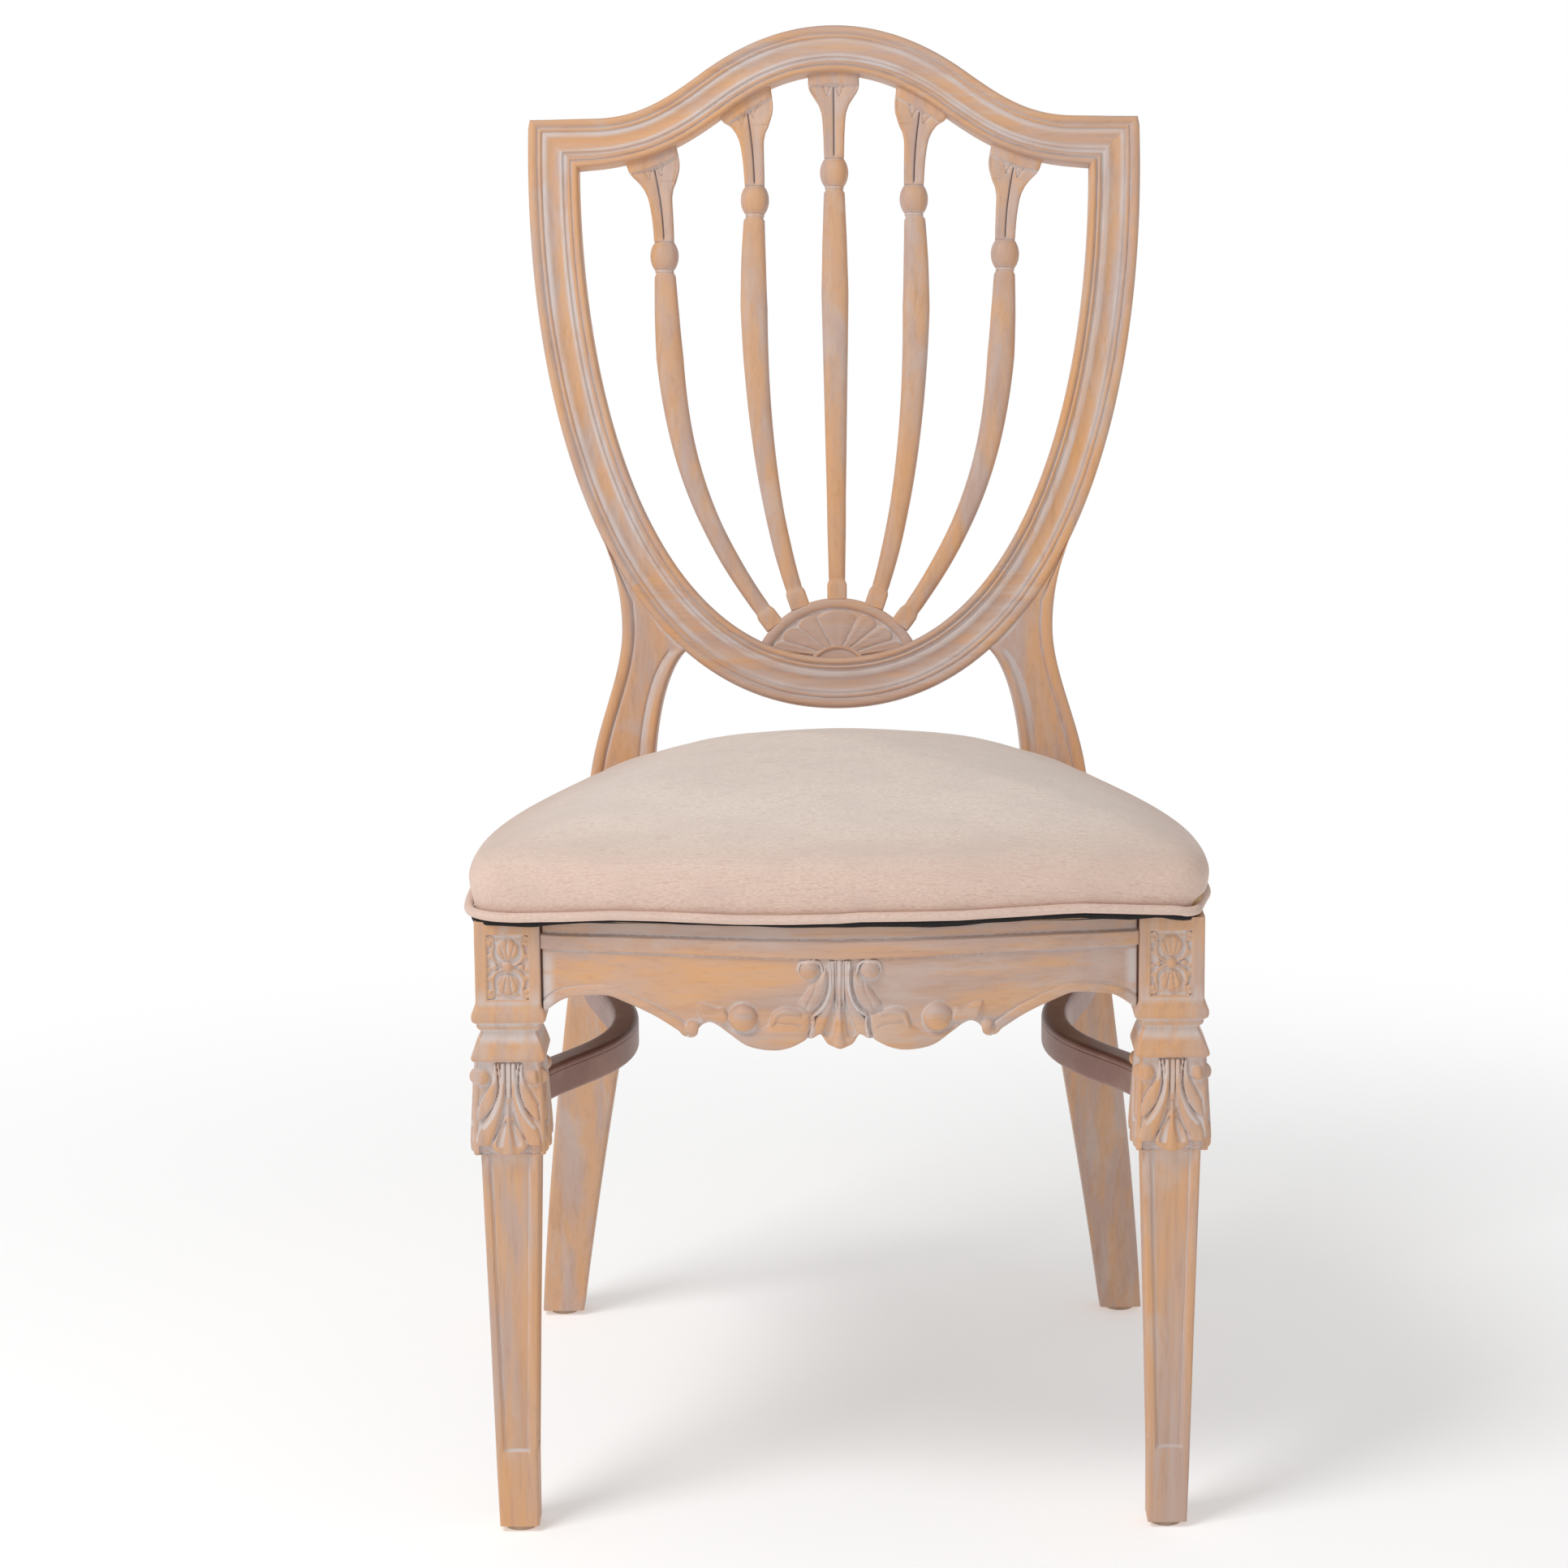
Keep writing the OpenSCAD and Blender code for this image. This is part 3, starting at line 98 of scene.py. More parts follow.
def spaced(line, count):
    """The same line as count evenly spaced points."""
    run = lengths(line)
    at = np.linspace(0, run[-1], count)
    return np.column_stack([np.interp(at, run, line[:, k]) for k in range(line.shape[1])])


def read_off(line, at, given=1, wanted=0):
    """One measure of a line where another measure of it is at."""
    return np.interp(at, line[:, given], line[:, wanted])


def both_halves(right):
    """A line of the right half, from the middle outwards, with its mirror image before it."""
    on_middle = 0.01
    return np.vstack([right[right[:, 0] > on_middle][::-1] * (-1, 1), right])


def step(low, high, x):
    """0 below low, 1 above high, and a soft rise between."""
    t = np.clip((x - low) / (high - low), 0, 1)
    return t * t * (3 - 2 * t)


def between(a, b, share):
    return a + share * (b - a)


print("A soft rise stands at", step(0, 10, 5), "in its middle")

# %% [markdown]
# ## Helpers for solids
# A moulded or carved stick is a row of closed rings skinned over, with flat ends. The Screw modifier or
# a bevelled curve would repeat one section only, while these rings may change from one to the next. All
# shapes are drawn in millimetres and put in place once, so that no piece needs to be moved afterwards.

# %% Skinned solids
def solid(name, points, faces, angle):
    """A piece of the chair from points in millimetres, with its faces turned outwards."""
    mesh = bpy.data.meshes.new(name)
    placed = (np.asarray(points, float) - (0, centre_y, 0)) * mm
    mesh.from_pydata(placed.tolist(), [], faces)
    piece = bpy.data.objects.new(name, mesh)
    bpy.context.scene.collection.objects.link(piece)
    bpy.ops.object.select_all(action="DESELECT")
    piece.select_set(True)
    bpy.context.view_layer.objects.active = piece
    bpy.ops.object.mode_set(mode="EDIT")
    bpy.ops.mesh.select_all(action="SELECT")
    bpy.ops.mesh.normals_make_consistent(inside=False)
    bpy.ops.object.mode_set(mode="OBJECT")
    bpy.ops.object.shade_smooth_by_angle(angle=math.radians(angle))
    return piece


def skin(rows, columns, loop=False):
    """Quads over a grid of rings, with the two ends closed unless the rings form a loop."""
    i = np.arange(rows if loop else rows - 1)[:, None]
    j = np.arange(columns)[None, :]
    here, there = i * columns, (i + 1) % rows * columns
    after = (j + 1) % columns
    quads = np.stack(np.broadcast_arrays(here + j, here + after, there + after, there + j), -1)
    faces = quads.reshape(-1, 4).tolist()
    if not loop:
        faces.append(list(range(columns))[::-1])
        faces.append([(rows - 1) * columns + k for k in range(columns)])
    return faces


def skinned(name, rings, angle, loop=False):
    """A stick over its rings; edges sharper than angle stay crisp."""
    rings = np.asarray(rings, float)
    return solid(name, rings.reshape(-1, 3), skin(rings.shape[0], rings.shape[1], loop), angle)


def fit(piece, slot, material, *nodes):
    """Gives a finished piece its material and its place in the chair."""
    piece.data.materials.append(material)
    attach(piece, "root")
    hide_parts(*nodes)
    print(piece.name, "has", len(piece.data.polygons), "faces")


hands = {"right": 1, "left": -1}
print("A stick of 3 rings with 4 corners has", len(skin(3, 4)), "faces")

# %% Where the wash stays
def washed(piece, shares):
    """Where the wash stayed (above 0) and where the wood is rubbed bare (below 0), point by point."""
    layer = piece.data.attributes.new("wash", "FLOAT", "POINT")
    layer.data.foreach_set("value", np.asarray(shares, float).ravel())
    return piece


def soft_mean(grid, reach):
    """Each number of a grid, averaged with its neighbours up to reach places away."""
    window = 2 * reach + 1
    for axis in (0, 1):
        edges = [(reach, reach) if a == axis else (0, 0) for a in (0, 1)]
        padded = np.pad(grid, edges, mode="edge")
        size = grid.shape[axis]
        grid = sum(np.take(padded, np.arange(k, k + size), axis) for k in range(window)) / window
    return grid


def low_places(heights, reach, tall=1.2):
    """1 where a carving lies tall below its surroundings, -1 where it stands that much above them."""
    return np.clip((soft_mean(heights, reach) - heights) / tall, -1, 1)


print("A flat board has no low places:", low_places(np.ones((3, 3)), 1).max() == 0)

# %% [markdown]
# ## The back's slope
# The whole back leans, so its pieces are drawn flat, as on the maker's board, and one function carries
# them onto the slope. Parenting them to a turned empty would do the same, but each mesh has to keep its
# own place.

# %% Across, up the slope, and out from its face
lean = math.radians(11)
seat_depth, seat_top = 398, 424


def on_back(across, up, out):
    across, up, out = np.broadcast_arrays(across, up, out)
    return np.stack([across, seat_depth + up * math.sin(lean) - out * math.cos(lean),
                     seat_top + up * math.cos(lean) + out * math.sin(lean)], -1)


print("The foot of the slope lies at", on_back(0, 0, 0))

# %% [markdown]
# ## Limewashed wood
# The wood is a warm blond. A grey-white wash was brushed on and wiped off, so it stays in the grooves
# and in soft patches that run with the grain, while the high edges are bare. Photographs of wood would
# have to be laid on every piece, so the grain is noise stretched along the fibres instead. The grooves
# are found by each point's wash share and by ambient occlusion over a few millimetres.

# %% Short words for material nodes
def colour(red, green, blue):
    """A colour as seen on a screen, 0 to 255, in the linear numbers that the shaders use."""
    parts = [c / 255 for c in (red, green, blue)]
    return tuple(c / 12.92 if c < 0.04045 else ((c + 0.055) / 1.055)**2.4 for c in parts) + (1,)


def plug(tree, source, socket):
    """Sets a socket to a number or colour, or links it to another node's output."""
    if isinstance(source, (int, float, tuple)):
        socket.default_value = source
    else:
        tree.links.new(source, socket)


def add_node(tree, kind, inputs=(), **settings):
    """A node with its settings made and its sockets plugged."""
    node = tree.nodes.new("ShaderNode" + kind)
    for word, value in settings.items():
        setattr(node, word, value)
    for socket, source in dict(inputs).items():
        plug(tree, source, node.inputs[socket])
    return node


print("Middle grey is", round(colour(128, 128, 128)[0], 3), "in linear light")

# %% A finish and its nodes
class Finish:
    """A material and the few steps that build it."""

    def __init__(self, name, roughness, shine=0.5):
        self.material = bpy.data.materials.new(name)
        self.material.use_nodes = True
        self.tree = self.material.node_tree
        self.shader = self.tree.nodes["Principled BSDF"]
        self.place = self.add("TexCoord").outputs["Object"]
        self.set({"Roughness": roughness, "Specular IOR Level": shine})

    def add(self, kind, inputs=(), **settings):
        return add_node(self.tree, kind, inputs, **settings)

    def set(self, inputs):
        for socket, source in inputs.items():
            plug(self.tree, source, self.shader.inputs[socket])

    def noise(self, scale, detail=3.0, rough=0.55, stretch=(1, 1, 1), place=None, twist=0.0):
        mapping = self.add("Mapping", {"Scale": stretch, "Vector": place or self.place})
        return self.add("TexNoise", {"Scale": scale, "Detail": detail, "Roughness": rough,
                                     "Distortion": twist, "Vector": mapping.outputs[0]}).outputs["Fac"]

    def spread(self, value, low, high, to_low=0.0, to_high=1.0):
        """A soft rise from to_low, where the value is low, up to to_high, where it is high."""
        return self.add("MapRange", {0: value, 1: low, 2: high, 3: to_low, 4: to_high},
                        interpolation_type="SMOOTHSTEP").outputs[0]

    def times(self, a, b):
        return self.add("Math", {0: a, 1: b}, operation="MULTIPLY", use_clamp=True).outputs[0]

    def larger(self, a, b):
        return self.add("Math", {0: a, 1: b}, operation="MAXIMUM").outputs[0]

    def mix(self, share, a, b, how="MIX"):
        node = self.add("Mix", {"Factor": share, "A": a, "B": b}, data_type="RGBA", blend_type=how)
        return [o for o in node.outputs if o.type == "RGBA"][0]

    def hollow(self, distance, low, high):
        """1 in hollows narrower than distance, 0 on open faces."""
        shade = self.add("AmbientOcclusion", {"Distance": distance}, samples=12, only_local=True)
        return self.spread(shade.outputs["AO"], high, low)

    def bump(self, height, depth, strength):
        return self.add("Bump", {"Distance": depth, "Strength": strength, "Height": height}).outputs[0]


print("A finish has", len([word for word in dir(Finish) if word[0] != "_"]), "steps to use")

# %% The limewashed wood
def limed_wood(name, grain, lilac_low=0.42, lilac_high=0.6):
    """Blond wood with a grey-white wash; grain is the axis that the fibres follow."""
    n = Finish(name, 0.52, 0.35)
    along = tuple(0.1 if axis == grain else 1.0 for axis in "xyz")
    short, long = tuple(0.5 + 0.5 * a for a in along), tuple(0.4 * a if a < 1 else a for a in along)
    broadly = tuple(2.2 * a if a < 1 else a for a in along)
    tan, orange, lilac = colour(212, 168, 133), colour(222, 165, 111), colour(196, 166, 151)
    wash, film_wash = colour(213, 202, 198), colour(204, 190, 184)
    # dark is painted shade, laid into the narrowest grooves below
    brown, fibre_brown, dark = colour(184, 140, 111), colour(170, 130, 106), colour(124, 98, 84)
    # the bare wood: patches, streaks and fibres that run with the grain
    broad, fibres = n.noise(12, stretch=broadly), n.noise(420, 4, 0.6, along)
    clouds = n.noise(30, 3, 0.6, short, twist=0.4)
    base = n.mix(n.spread(n.noise(55, 4, 0.6, along, twist=0.3), lilac_low, lilac_high), tan, lilac)
    base = n.mix(n.spread(broad, 0.5, 0.64, 0, 0.6), base, orange)
    base = n.mix(n.spread(n.noise(48, 3, 0.6, long), 0.54, 0.68, 0, 0.45), base, orange)
    base = n.mix(n.spread(n.noise(130, 3, 0.6, long), 0.5, 0.75, 0, 0.35), base, brown)
    base = n.mix(n.spread(fibres, 0.5, 0.72, 0, 0.25), base, fibre_brown)
    # a thin film of wash, brushed along the grain, and small clouds of it
    thin = n.spread(n.noise(75, 5, 0.7, long, twist=0.5), 0.47, 0.64)
    film = n.times(thin, n.spread(broad, 0.44, 0.58, 0.8, 0.3))
    film = n.larger(film, n.spread(clouds, 0.56, 0.7, 0, 0.75))
    base = n.mix(n.times(film, 0.5), base, film_wash)
    # high places are rubbed bare, low places hold the wash
    share = n.add("Attribute", attribute_name="wash").outputs["Fac"]
    base = n.mix(n.spread(share, -0.1, -0.9, 0, 0.5), base, orange)
    groove = n.larger(n.hollow(0.007, 0.55, 0.93), n.spread(share, 0.1, 0.85))
    rubbed = n.times(n.spread(n.noise(110, 4, 0.65, long), 0.3, 0.55, 0.4, 1),
                     n.spread(clouds, 0.36, 0.56, 0.6, 1))
    base = n.mix(n.times(n.times(groove, rubbed), 0.9), base, wash)
    # painted shade: the narrowest grooves, found by ambient occlusion within 2 mm, are darkened towards dark
    # brown
    base = n.mix(n.times(n.hollow(0.002, 0.08, 0.45), 0.4), base, dark)
    n.set({"Base Color": base, "Normal": n.bump(fibres, 0.00012, 0.7)})
    return n.material


wood_up = limed_wood("limed_wood_upright", "z")
wood_across = limed_wood("limed_wood_across", "x", 0.36, 0.54)
wood_back = limed_wood("limed_wood_along", "y")
print("Limewashed wood for", wood_up.name, wood_across.name, wood_back.name)

# %% [markdown]
# ## Painted stretchers
# Only the two stretchers are painted, in a soft brown with a low shine. A single flat colour would look
# like plastic, so two browns are clouded together and the brush's streaks give a slight relief.

# %% The brown paint
def painted_wood():
    n = Finish("brown_paint", 0.42)
    cloud, streak = n.noise(30, 4, 0.6), n.noise(140, 3, 0.6, (1, 0.15, 1))
    base = n.mix(n.spread(cloud, 0.4, 0.65), colour(143, 102, 91), colour(157, 119, 104))
    base = n.mix(n.spread(streak, 0.5, 0.75, 0, 0.25), base, colour(122, 86, 78))
    n.set({"Base Color": base, "Normal": n.bump(streak, 0.00012, 0.6)})
    return n.material


brown_paint = painted_wood()
print("Made", brown_paint.name)

# %% [markdown]
# ## Linen
# The cover is heathered linen: uneven threads both ways, in pale beige with pinkish slubs. Real threads
# as geometry would be millions of faces. Noise stretched along each thread gives the same look, and it
# reads the cloth's own map, so the threads follow the cover over its edge.

# %% The linen cloth
def linen_cloth():
    n = Finish("linen", 0.9, 0.2)
    weave = n.add("UVMap").outputs["UV"]
    weft, warp = n.noise(1700, 2, 0.6, (0.16, 1, 1), weave), n.noise(1700, 2, 0.6, (1, 0.16, 1), weave)
    slub, cloud = n.noise(520, 3, 0.7, (0.14, 1, 1), weave), n.noise(30, 3, 0.6, (0.5, 1, 1), weave)
    base = n.mix(n.spread(weft, 0.4, 0.66, 0, 0.6), colour(243, 229, 217), colour(220, 194, 181))
    base = n.mix(n.spread(warp, 0.5, 0.72, 0, 0.45), base, colour(250, 240, 228))
    base = n.mix(n.spread(slub, 0.52, 0.7, 0, 0.5), base, colour(213, 182, 170))
    base = n.mix(n.spread(cloud, 0.42, 0.64, 0, 0.4), base, colour(226, 211, 201))
    # the sides hang away from the light and look pinker
    high = n.add("SeparateXYZ", {0: n.place}).outputs["Z"]
    base = n.mix(n.spread(high, 0.492, 0.455), base, colour(242, 229, 224), "MULTIPLY")
    threads = n.add("Math", {0: n.times(weft, 0.6), 1: n.times(warp, 0.4)}, operation="ADD", use_clamp=True)
    n.set({"Base Color": base, "Normal": n.bump(threads.outputs[0], 0.00018, 0.7),
           "Sheen Weight": 0.2, "Sheen Roughness": 0.5})
    return n.material


linen = linen_cloth()
print("Made", linen.name)

# %% [markdown]
# ## Black cloth, plastic, raw wood and steel
# The rest are plain stuffs: the cloth under the seat, the glides, the unfinished wood inside and the
# screws. One function mixes two close tones of each by noise, which is enough for pieces this small.

# %% Plain stuffs
def plain(name, light, dark, scale, roughness, stretch=(1, 1, 1)):
    """Two tones of one stuff mixed by noise, with a fine bump."""
    n = Finish(name, roughness)
    grain = n.noise(scale, 4, 0.6, stretch)
    tones = n.mix(n.spread(grain, 0.35, 0.68), light, dark)
    n.set({"Base Color": tones, "Normal": n.bump(grain, 0.0001, 0.6)})
    return n.material


black_cloth = plain("black_cloth", colour(24, 22, 22), colour(40, 38, 38), 900, 0.95)
glide_plastic = plain("glide_plastic", colour(190, 168, 146), colour(170, 146, 124), 60, 0.4)
raw_wood = plain("raw_wood", colour(206, 170, 124), colour(188, 150, 106), 60, 0.7, (1, 1, 0.15))
board_wood = plain("board_wood", colour(200, 166, 122), colour(180, 144, 100), 80, 0.75, (0.15, 1, 1))
steel = plain("screw_steel", colour(150, 150, 152), colour(120, 120, 124), 300, 0.35)
steel.node_tree.nodes["Principled BSDF"].inputs["Metallic"].default_value = 1.0
print("Materials made:", len(bpy.data.materials))

# %% [markdown]
# ## Shield frame
# The crest rail, two stiles and the bow are sawn from boards and run through the same moulding cutter:
# a bead at each edge, a narrow bead, and a wide hollow between. The crest meets the stiles in mitres,
# and each stile meets the bow low on the side. A bevelled curve would carry the section round, but its
# corners would be pinched. Here every line of the moulding is its own copy of the outline, set in by its
# distance from the edge, so the mitres come out sharp and the crest may be slimmer in its middle.

# %% Lines of the shield
half_shield, corner_up, crest_rise, shield_base = 230, 515, 69, 70
crest_w, stile_w = 37.5, 38
dome = [(0, 1), (0.135, 1), (0.278, 0.86), (0.428, 0.5)]
sweep = [(0.428, 0.5), (0.537, 0.238), (0.634, 0), (0.787, 0)]
side = [(1, 1), (1.031, 0.436), (0.682, 0), (0, 0)]
crest_steps, side_steps = 60, 240
joint_step = side_steps * 14 // 24       # where a stile meets the bow


def crest_line(inset):
    def placed(shares):
        return [(x * half_shield, corner_up + y * crest_rise) for x, y in shares]
    first, second = (cubic(placed(part), crest_steps, inset) for part in (dome, sweep))
    return np.vstack([first, second[second[:, 0] > first[-1, 0] + 0.01]])


def side_line(inset):
    handles = [(x * half_shield, shield_base + y * (corner_up - shield_base)) for x, y in side]
    return cubic(handles, side_steps, inset)


inner_up = corner_up - crest_w
inner_corner = np.array([read_off(side_line(stile_w)[::-1], inner_up), inner_up])
print("The frame's inner corner lies at", inner_corner.round(1))

# %% The four pieces' outlines: share 0 is the outer edge, 1 the inner edge
outer_corner = np.array([half_shield, corner_up])
eased = 0.033                            # the outer corner is rounded off over this share of the width
slim_share, slim_within, full_beyond = 0.93, 150, 205


def mitre(share):
    return outer_corner + np.maximum(share, eased) * (inner_corner - outer_corner)


def corner_gap(share):
    """How far before its corner a line stops, to leave room for the rounding-off outside."""
    return 2.8 if share < eased else 1.6


def crest_at(share):
    """The crest is slimmer between its corners."""
    line, slim, end = crest_line(share * crest_w), crest_line(share * crest_w * slim_share), mitre(share)
    slim_up = read_off(slim, line[:, 0], 0, 1)
    line[:, 1] = between(line[:, 1], slim_up, step(full_beyond, slim_within, line[:, 0]))
    return np.vstack([line[line[:, 0] < end[0] - corner_gap(share)], end])


def stile_at(share):
    line, start = side_line(share * stile_w)[:joint_step + 1], mitre(share)
    return np.vstack([start, line[line[:, 1] < start[1] - corner_gap(share)]])


def bow_at(share):
    return both_halves(side_line(share * stile_w)[joint_step:][::-1])


print("The stile's outer edge has", len(stile_at(0)), "points, the bow's", len(bow_at(0)))

# %% The moulding: distance from the outer edge, height over the face, and how the wash stayed
moulding = [
    (0, -3.8, 0), (0.3, -2.2, 0), (0.9, -1.0, -0.2), (2, -0.3, -0.4), (3.6, 0, -0.6), (5.2, -0.25, -0.2),
    (6.4, -0.9, 0), (7.2, -1.7, 0.7), (7.6, -2.2, 0.7), (8, -1.7, 0.4), (8.6, -1.15, -0.3),
    (9.3, -0.95, -0.6), (10, -1.2, -0.2), (10.5, -1.9, 0.5), (11, -2.7, 0.8), (11.5, -2.7, 0.8),
    (12.2, -2.1, 0.7), (13.4, -2.1, 0.7), (15, -2.6, 0.4), (17, -3.1, 0), (19.3, -3.4, -0.4),
    (21.6, -3.1, -0.3), (23.6, -2.5, 0.4), (25.2, -1.9, 0.8), (26.2, -1.9, 0.6), (26.8, -2.7, 0.8),
    (27.5, -3.4, 1), (28.6, -3.5, 1), (29.6, -2.9, 0.8), (30.2, -1.9, 0.3), (30.8, -1.2, -0.4),
    (31.5, -0.95, -0.6), (32.2, -1.3, -0.1), (32.7, -1.9, 0.6), (33, -2.4, 0.7), (33.4, -2.0, 0.4),
    (34, -0.9, -0.1), (34.9, -0.2, -0.5), (36, 0, -0.6), (37.2, -0.35, -0.4), (38, -1.1, -0.2),
    (38.6, -2.4, 0), (39, -4.2, 0)]
behind = [(39, -10), (39, -16), (39, -22), (38.5, -24), (37.3, -25.4), (35.5, -26), (26, -26),
          (13, -26), (3.5, -26), (1.7, -25.4), (0.5, -24), (0, -22), (0, -16), (0, -10)]
section = np.array(moulding + [(inwards, height, 0) for inwards, height in behind])
section_w = moulding[-1][0]


def moulded(name, line_at, count, side_sign=1):
    """One length of the moulding: every line of the section follows the frame."""
    lines = np.stack([spaced(line_at(inwards / section_w), count) for inwards in section[:, 0]], 1)
    rings = on_back(lines[:, :, 0], lines[:, :, 1], section[None, :, 1]) * (side_sign, 1, 1)
    return washed(skinned(name, rings, 50), np.broadcast_to(section[:, 2], lines.shape[:2]))


frame_t = -section[:, 1].min()
print("The moulding is", section_w, "mm wide and", frame_t, "mm thick")

# %% The four pieces of the frame
crest = moulded("crest_rail_moulded", lambda share: both_halves(crest_at(share)), 260)
fit(crest, "limed_wood", wood_across, "crest_rail")
for hand, side_sign in hands.items():
    stile = moulded(f"stile_{hand}_moulded", stile_at, 110, side_sign)
    fit(stile, "limed_wood", wood_up, f"shield_stile_{hand}")
fit(moulded("bow_moulded", bow_at, 220), "limed_wood", wood_across, "shield_bow")

# %% [markdown]
# ## Carving helpers
# A carver works down from a flat face: leaves, balls and ribs stand up, and their edges drop to the
# ground. Sculpting would need a window and a steady hand, and a height picture would be a file from
# outside. So each motif gives a height over a grid of places, worked out from its drawn line, and the
# highest one wins.

# %% Distances for carving
def distance_to(x, z, line):
    """Distance of each place from a line, and how far along the line its nearest point lies."""
    best, along = np.full(x.shape, 1e9), np.zeros(x.shape)
    run = lengths(line)
    for a, b, start in zip(line, line[1:], run):
        d = b - a
        size = max(float(d @ d), 1e-9)
        t = np.clip(((x - a[0]) * d[0] + (z - a[1]) * d[1]) / size, 0, 1)
        gap = np.hypot(x - a[0] - t * d[0], z - a[1] - t * d[1])
        nearer = gap < best
        best = np.where(nearer, gap, best)
        along = np.where(nearer, start + t * math.sqrt(size), along)
    return best, along / run[-1]


def inside_of(x, z, line):
    """Whether each place lies inside a closed line."""
    inside = np.zeros(x.shape, bool)
    for (ax, az), (bx, bz) in zip(line, line[1:]):
        if az != bz:
            crosses = (az > z) != (bz > z)
            inside ^= crosses & (x < ax + (z - az) * (bx - ax) / (bz - az))
    return inside


corner_of_3_4 = distance_to(np.array([3.0]), np.array([4.0]), np.array([(0, 0), (0, -1)]))[0]
print("A place at (3, 4) lies", corner_of_3_4[0], "from the line below the origin")

# %% Motifs of the carver
def strand(x, z, points, halves, rise, hollow=0.0):
    """A leaf or rib along a line, rounded across, with an optional hollow down its middle."""
    gap, along = distance_to(x, z, smoothed(points, 6))
    stops = lengths(np.asarray(points, float))
    half = np.interp(along, stops / stops[-1], halves)
    t = np.clip(gap / half, 0, 1)
    return np.where(gap < half, rise * (1 - t**2)**0.55 - hollow * np.exp(-(t / 0.45)**2), 0)


def ball(x, z, at, radius, rise):
    return rise * np.sqrt(np.clip(radius**2 - (x - at[0])**2 - (z - at[1])**2, 0, None))


def boss(x, z, outline, rise, soft):
    """A padded area that rises from its outline over the distance soft."""
    line = smoothed(outline + outline[:1], 5)
    gap, _ = distance_to(x, z, line)
    t = np.clip(gap / soft, 0, 1)
    return np.where(inside_of(x, z, line), rise * np.sqrt(np.clip(1 - (1 - t)**2, 0, 1)), 0)


def groove(x, z, points, half, deep):
    gap, _ = distance_to(x, z, smoothed(points, 6))
    return -deep * np.exp(-(gap / half)**2)


def bead(at, middle, half, rise):
    """A rounded bar."""
    return rise * np.sqrt(np.clip(1 - ((at - middle) / half)**2, 0, 1))


print("A bead of 2 mm stands", round(float(bead(0.5, 0, 1, 2)), 2), "mm high halfway down its side")

# %% [markdown]
# ## Lunette
# The fan at the foot of the splats is carved from one thin board: a rounded rim, seven petals that
# spread from a half ring, and a ground between them. Petals made as separate pieces would leave seams
# that a carved board doesn't have, so the board is one fine grid of heights.

# %% Heights of the fan
fan_up, fan_r, fan_face, fan_t = 87, 66, -5, 15
hub_up, ring_up, ring_r = 108, 92.7, 23.4
petal_edges = [62.8, 37.5, 17.5, 6]      # the grooves' angles from level, on each side
ground_low, hub_low, rim_low, rim_w, rim_middle = -3.0, -2.7, -2.2, 7.5, 3.7


def petals(x, up, rim_at):
    """Petals between their grooves, each with a shallow hollow and a rounded tip before the rim."""
    angle = np.degrees(np.arctan2(up - hub_up, np.abs(x)))
    edges = [180 - petal_edges[0]] + petal_edges
    height = np.full_like(x, ground_low)
    for high, low in zip(edges, edges[1:]):
        t = (angle - (high + low) / 2) / ((high - low) / 2)
        tip = 8.2 + 4.5 * t**2
        rounded = np.clip(1 - t**2, 0, 1)**0.45 * (1.0 - 0.22 * np.exp(-(t / 0.42)**2))
        shape = rounded * step(0, 1.8, rim_at - tip)
        height = np.maximum(height, np.where(np.abs(t) < 1, ground_low + 2.4 * shape, ground_low))
    return height


def fan_relief(x, up):
    rim_at = fan_r - np.hypot(x, up - fan_up)
    # the half ring that the petals spring from, and the flat inside it
    ring_at = np.hypot(x, up - ring_up)
    height = np.where(ring_at < ring_r, hub_low, petals(x, up, rim_at))
    height = np.maximum(height, ground_low + bead(ring_at, ring_r, 1.9, 2.3))
    rim = rim_low + bead(rim_at, rim_middle, 4.0, 2.4)
    beside_rim = np.where(rim_at < rim_middle, rim_low, rim_low - 1)
    return np.where(rim_at < rim_w, np.maximum(rim, beside_rim), height)


rim_up = np.full(1, fan_up + fan_r - rim_middle)
print("The fan's rim stands", fan_relief(np.zeros(1), rim_up).round(2), "mm over its face")

# %% Lunette
fan_half, near_end = 57.2, 50
end_steps = np.linspace(near_end, fan_half, 22)[1:]
across = np.concatenate([-end_steps[::-1], np.linspace(-near_end, near_end, 145), end_steps])
bow_inside = bow_at(1)
bottom = read_off(bow_inside, across, 0, 1) - 0.6
top = np.maximum(fan_up + np.sqrt(fan_r**2 - across**2), bottom + 0.2)
x, low, high = across[:, None], bottom[:, None], top[:, None]
up, rear_up = between(low, high, np.linspace(0, 1, 72)), between(high, low, np.linspace(0, 1, 8))
relief = fan_relief(x + 0 * up, up)
rings = np.hstack([on_back(x, up, fan_face + relief), on_back(x, rear_up, fan_face - fan_t)])
lunette_wash = np.hstack([low_places(relief, 4), 0 * rear_up])
fit(washed(skinned("lunette_carved", rings, 60), lunette_wash), "limed_wood", wood_across, "lunette")

# %% [markdown]
# ## Splats
# Each splat is one stick: a flared head with a slit down its middle, a faceted ball between two small
# necks, a bent shaft that swells below the ball, and a small block at the foot. Five different sticks
# could be modelled one by one, but they differ only in their bend and lean. So one set of rings follows
# each splat's centre line, and the left ones are mirror images of the right ones.

